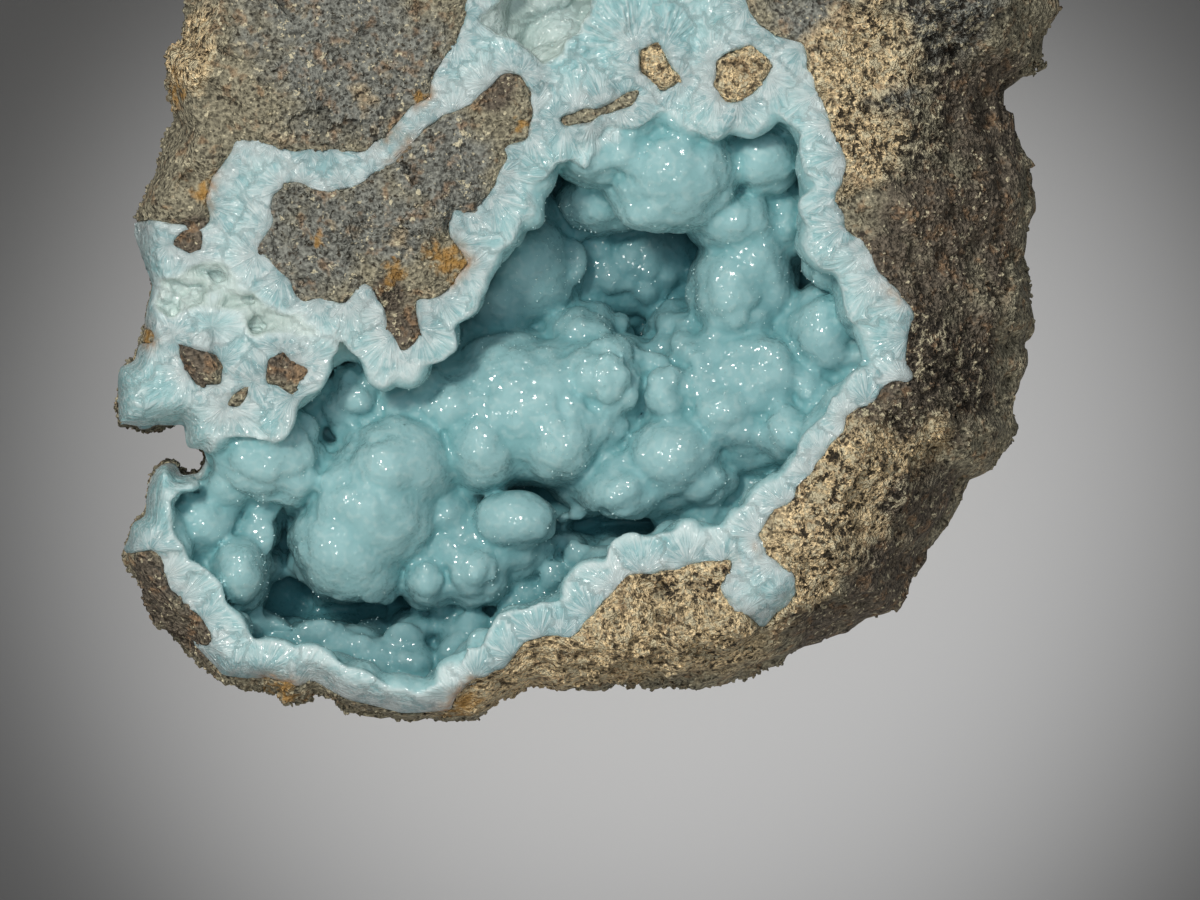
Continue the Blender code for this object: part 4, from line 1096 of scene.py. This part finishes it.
def markCrust(piece):
    places = placesOf(piece)
    airThere = sampleAt(air, places)
    broken = np.clip((-airThere - sampleAt(whole, places)) / 0.5 + 0.3, 0, 1)
    giveNumbers(piece, "broken", broken)
    giveNumbers(piece, "rind", -airThere)
    giveNumbers(piece, "growth", sampleAt(pocket, places))
    # how much crust lies round each point, near and farther out; the finish paints shade into crevices and
    # shut-in places from these
    filled = (crustSolid > 0).astype(np.float32)
    giveNumbers(piece, "crease", sampleAt(boxBlur(filled, 5), places))
    giveNumbers(piece, "shut", sampleAt(boxBlur(filled, 14), places))
    # how far below the face, for painted shade deep in the hollow
    below = specimen["faceHeight"] - crust["thickness"] - places[:, 2]
    giveNumbers(piece, "deep", np.clip(below / 15.0, 0, 1) ** 1.3)
    # the two small hollows are greyer and milkier than the large one
    left = np.clip((-places[:, 0] - 22.0) / 3.0, 0, 1) * np.clip((places[:, 1] + 9.5) / 1.5, 0, 1)
    giveNumbers(piece, "milky", 0.85 * np.maximum(left, np.clip((places[:, 1] - 17.5) / 2.0, 0, 1)))
    besideRock = np.clip(1.2 - sampleAt(pocket, places), 0, 1)
    giveNumbers(piece, "rust", stainAmount(places, stains["ochre"]) * besideRock)
    starts = np.zeros((len(places), 3), np.float32)
    number, points = nearestNucleus(places)
    giveNumbers(piece, "fanTone", np.random.default_rng(72).uniform(0, 1, number.max() + 1)[number])
    starts[:, :2] = points * mm
    starts[:, 2] = places[:, 2] * mm
    attribute = piece.data.attributes.new("nucleus", "FLOAT_VECTOR", "POINT")
    attribute.data.foreach_set("vector", starts.ravel())


def markRock(piece):
    places = placesOf(piece)
    for name, spots in stains.items():
        giveNumbers(piece, name, stainAmount(places, spots))
    # how much rock lies round each point; the finish paints shade into crevices from it
    solid = (rockSolid > 0).astype(np.float32)
    closeness = 0.5 * sampleAt(boxBlur(solid, 4), places) + 0.5 * sampleAt(boxBlur(solid, 2), places)
    giveNumbers(piece, "crease", closeness)


def growOn(host, name, tree, sizes):
    # what the tree grows on the host's surface, as a piece of its own
    piece = bpy.data.objects.new(name, host.data.copy())
    bpy.context.scene.collection.objects.link(piece)
    change = piece.modifiers.new("grow", "NODES")
    change.node_group = tree
    for socket in tree.interface.items_tree:
        if socket.in_out == "INPUT" and socket.name in sizes:
            change[socket.identifier] = sizes[socket.name]
    settle(piece)
    print(name, countTriangles(piece), "triangles")
    return piece


def scatterTree(treeName, sizeNames, densityName, attribute, material, makeShape):
    # what makeShape gives, scattered on a surface, thickest where the attribute is 1
    tree = bpy.data.node_groups.new(treeName, "GeometryNodeTree")
    tree.interface.new_socket("Geometry", in_out="OUTPUT", socket_type="NodeSocketGeometry")
    tree.interface.new_socket("Geometry", in_out="INPUT", socket_type="NodeSocketGeometry")
    for name in sizeNames + (densityName,):
        tree.interface.new_socket(name, in_out="INPUT", socket_type="NodeSocketFloat")
    tree.interface.new_socket("Seed", in_out="INPUT", socket_type="NodeSocketInt")
    given = addNode(tree, "NodeGroupInput").outputs
    thickness = addNode(tree, "GeometryNodeInputNamedAttribute", {"Name": attribute},
                        data_type="FLOAT").outputs[0]
    density = addNode(tree, "ShaderNodeMath", {0: given[densityName], 1: thickness},
                      operation="MULTIPLY").outputs[0]
    points = addNode(tree, "GeometryNodeDistributePointsOnFaces", {
        "Mesh": given["Geometry"], "Density": density, "Seed": given["Seed"]}).outputs
    shape, rotation, scale = makeShape(tree, given, points)
    stood = addNode(tree, "GeometryNodeInstanceOnPoints", {
        "Points": points["Points"], "Instance": shape, "Rotation": rotation, "Scale": scale})
    solid = addNode(tree, "GeometryNodeRealizeInstances", {"Geometry": stood.outputs[0]})
    dressed = addNode(tree, "GeometryNodeSetMaterial", {
        "Geometry": solid.outputs[0], "Material": material})
    addNode(tree, "NodeGroupOutput", {"Geometry": dressed.outputs[0]})
    return tree


def leaningBlade(tree, given, points):
    # a small flat blade with its foot sunk in the surface
    blade = addNode(tree, "GeometryNodeMeshCone", {
        "Vertices": 4, "Radius Top": 0.3, "Radius Bottom": 0.5, "Depth": 1.0}, fill_type="NGON")
    recessShadeAmount = addNode(tree, "GeometryNodeTransform", {
        "Geometry": blade.outputs["Mesh"], "Translation": (0, 0, -0.55), "Scale": (1.0, 0.45, 1.0)})
    tip = addNode(tree, "FunctionNodeRandomValue", {
        "Min": (-0.7, -0.7, 0.0), "Max": (0.7, 0.7, 6.28), "Seed": given["Seed"]},
        data_type="FLOAT_VECTOR")
    lean = addNode(tree, "FunctionNodeRotateRotation", {
        "Rotation": points["Rotation"], "Rotate By": tip.outputs[0]}, rotation_space="LOCAL")
    size = addNode(tree, "ShaderNodeCombineXYZ", {
        0: given["Blade Width"], 1: given["Blade Width"], 2: given["Blade Length"]})
    vary = addNode(tree, "FunctionNodeRandomValue", {2: 0.45, 3: 1.25, "Seed": given["Seed"]},
                   data_type="FLOAT")
    scaled = addNode(tree, "ShaderNodeVectorMath", {0: size.outputs[0], "Scale": vary.outputs[1]},
                     operation="SCALE")
    return recessShadeAmount.outputs[0], lean.outputs[0], scaled.outputs[0]


def looseGrain(tree, given, points):
    # an uneven grain, turned any way
    grain = addNode(tree, "GeometryNodeMeshIcoSphere", {"Radius": 0.5, "Subdivisions": 1})
    turn = addNode(tree, "FunctionNodeRandomValue", {
        "Min": (0, 0, 0), "Max": (6.28, 6.28, 6.28), "Seed": given["Seed"]}, data_type="FLOAT_VECTOR")
    vary = addNode(tree, "FunctionNodeRandomValue", {
        "Min": (0.35, 0.35, 0.35), "Max": (1.25, 1.25, 0.9), "Seed": given["Seed"]},
        data_type="FLOAT_VECTOR")
    scaled = addNode(tree, "ShaderNodeVectorMath", {0: vary.outputs[0], "Scale": given["Grain Size"]},
                     operation="SCALE")
    return grain.outputs["Mesh"], turn.outputs[0], scaled.outputs[0]


# Coarse grains that stand out of the weathered rock
grit = {"size": 0.8, "perSquareMm": 0.9, "seed": 9}

markCrust(crustPiece)
markRock(rockPiece)
crustFinish = hemimorphiteMaterial()
bladeFinish = clearBladeMaterial()
rockFinish = matrixMaterial()
print("marked")

places = placesOf(crustPiece)
inHollow = np.clip((sampleAt(whole, places) - 0.5) / 1.0, 0, 1) * (sampleAt(pocket, places) > 0.6)
patchy = np.clip(sampleAt(deepCloud(6.0, 81), places) * 1.4 + 0.6, 0.1, 1.6)
crustShare = boxBlur((crustSolid > 0).astype(np.float32), 5)
outward = np.clip((0.56 - sampleAt(crustShare, places)) * 8, 0, 1)
giveNumbers(crustPiece, "sparkle", inHollow * patchy * outward)
places = placesOf(rockPiece)
onFace = (sampleAt(whole, places) < 0.3) & (places[:, 2] > 2.0)
patchy = np.clip(sampleAt(deepCloud(7.0, 82), places) * 1.3 + 0.55, 0.05, 1.5)
giveNumbers(rockPiece, "gritty", onFace * patchy)

bladeTree = scatterTree("drusyBlades", ("Blade Length", "Blade Width"), "Blades Per Square Metre",
                        "sparkle", bladeFinish, leaningBlade)
gritTree = scatterTree("weatheredGrains", ("Grain Size",), "Grains Per Square Metre",
                       "gritty", rockFinish, looseGrain)
bladePiece = growOn(crustPiece, "drusy_blades", bladeTree, {
    "Blade Length": druse["length"] * mm, "Blade Width": druse["width"] * mm,
    "Blades Per Square Metre": druse["perSquareMm"] * 1e6, "Seed": druse["seed"]})
gritPiece = growOn(rockPiece, "weathered_grains", gritTree, {
    "Grain Size": grit["size"] * mm, "Grains Per Square Metre": grit["perSquareMm"] * 1e6,
    "Seed": grit["seed"]})

for piece, finish in ((crustPiece, crustFinish), (rockPiece, rockFinish)):
    piece.data.materials.clear()
    piece.data.materials.append(finish)
    piece.data.shade_smooth()

for piece, slot in ((crustPiece, "hemimorphite_crust"), (bladePiece, "hemimorphite_crust"),
                    (rockPiece, "matrix_rock"), (gritPiece, "matrix_rock")):
    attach(piece, "root")
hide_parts("hemimorphite_crust")
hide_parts("matrix_rock")
print("pieces dressed")


# Studio: pale floor, soft lights, and a camera that looks straight down

studio = {
    "floor": "#d0d0d0",
    "centre": (1.3, -18.9),  # mm, middle of the picture
    "frameWidth": 120.0,  # mm across the picture at the broken face
    "height": 1200.0,  # mm from the face to the camera
    "lights": [
        # x, y, z in metres, size, watts, colour, mirrored by shiny faces or not
        (-0.34, 0.34, 1.05, 0.16, 8.4, "#fffaf2", True),
        (-0.05, 0.10, 1.50, 0.70, 7.6, "#f6f9ff", False),
        (0.10, -0.75, 0.40, 0.40, 1.6, "#fff6ea", False),
    ],
    "dim": 0.13,  # strength of the even light from all round
    "pool": (0.006, -0.023, 1.0, 8.9, 27.5),  # light on the floor alone: x, y, height, degrees, watts
}


def paperMaterial():
    # matt studio paper: a plain even tone with a trace of fibre
    material, tree = newMaterial("studio_paper")
    place = addNode(tree, "ShaderNodeTexCoord").outputs["Object"]
    fibre = addNode(tree, "ShaderNodeTexNoise", {
        "Vector": place, "Scale": perMetre(4.0), "Detail": 2.0})
    bumped = addNode(tree, "ShaderNodeBump", {
        "Strength": 0.05, "Distance": 0.0002, "Height": fibre.outputs["Fac"]})
    shader = addNode(tree, "ShaderNodeBsdfPrincipled", {
        "Base Color": linear(studio["floor"]), "Roughness": 0.9, "Normal": bumped.outputs[0]})
    addNode(tree, "ShaderNodeOutputMaterial", {"Surface": shader.outputs[0]})
    return material


def makeFloor():
    half = 3000.0
    corners = np.array([(-half, -half, 0), (half, -half, 0), (half, half, 0), (-half, half, 0)])
    floor = makePiece("studio_floor", corners, np.array([[0, 1, 2, 3]]))
    floor.data.materials.append(paperMaterial())
    return floor


def lightGroup(name, members):
    # the things that one lamp lights or is shaded by
    group = bpy.data.collections.get(name)
    if group is None:
        group = bpy.data.collections.new(name)
        for member in members:
            group.objects.link(member)
    return group


def makeLights(pieces, floor):
    target = Vector((0.0, -0.01, 0.02))
    for number, (x, y, z, size, power, colour, mirrored) in enumerate(studio["lights"]):
        lamp = bpy.data.lights.new("softbox%d" % number, "AREA")
        lamp.shape = "DISK"
        lamp.size = size
        lamp.energy = power
        lamp.color = linear(colour)[:3]
        holder = bpy.data.objects.new(lamp.name, lamp)
        holder.location = (x, y, z)
        holder.rotation_euler = (target - holder.location).to_track_quat("-Z", "Y").to_euler()
        bpy.context.scene.collection.objects.link(holder)
        holder.visible_glossy = mirrored
        holder.light_linking.receiver_collection = lightGroup("specimenOnly", pieces)
    x, y, height, wide, power = studio["pool"]
    lamp = bpy.data.lights.new("floorPool", "SPOT")
    lamp.spot_size = math.radians(wide)
    lamp.spot_blend = 1.0
    lamp.shadow_soft_size = 0.012
    lamp.energy = power
    holder = bpy.data.objects.new(lamp.name, lamp)
    holder.location = (x, y, height)
    bpy.context.scene.collection.objects.link(holder)
    holder.light_linking.receiver_collection = lightGroup("floorOnly", [floor])
    holder.light_linking.blocker_collection = lightGroup("floorOnly", [floor])
    world = bpy.data.worlds.new("studioAir")
    world.use_nodes = True
    world.node_tree.nodes["Background"].inputs["Color"].default_value = (1, 1, 1, 1)
    world.node_tree.nodes["Background"].inputs["Strength"].default_value = studio["dim"]
    bpy.context.scene.world = world


def makeCamera():
    lens = bpy.data.cameras.new("camera")
    lens.sensor_width = 36.0
    lens.lens = 36.0 * studio["height"] / studio["frameWidth"]
    lens.clip_start = 0.1
    lens.clip_end = 20.0
    holder = bpy.data.objects.new("camera", lens)
    x, y = studio["centre"]
    holder.location = (x * mm, y * mm, (30.0 + studio["height"]) * mm)
    bpy.context.scene.collection.objects.link(holder)
    bpy.context.scene.camera = holder


makeLights([crustPiece, bladePiece, rockPiece, gritPiece], makeFloor())
makeCamera()
bpy.context.scene.view_settings.view_transform = "Standard"
print("scene ready")
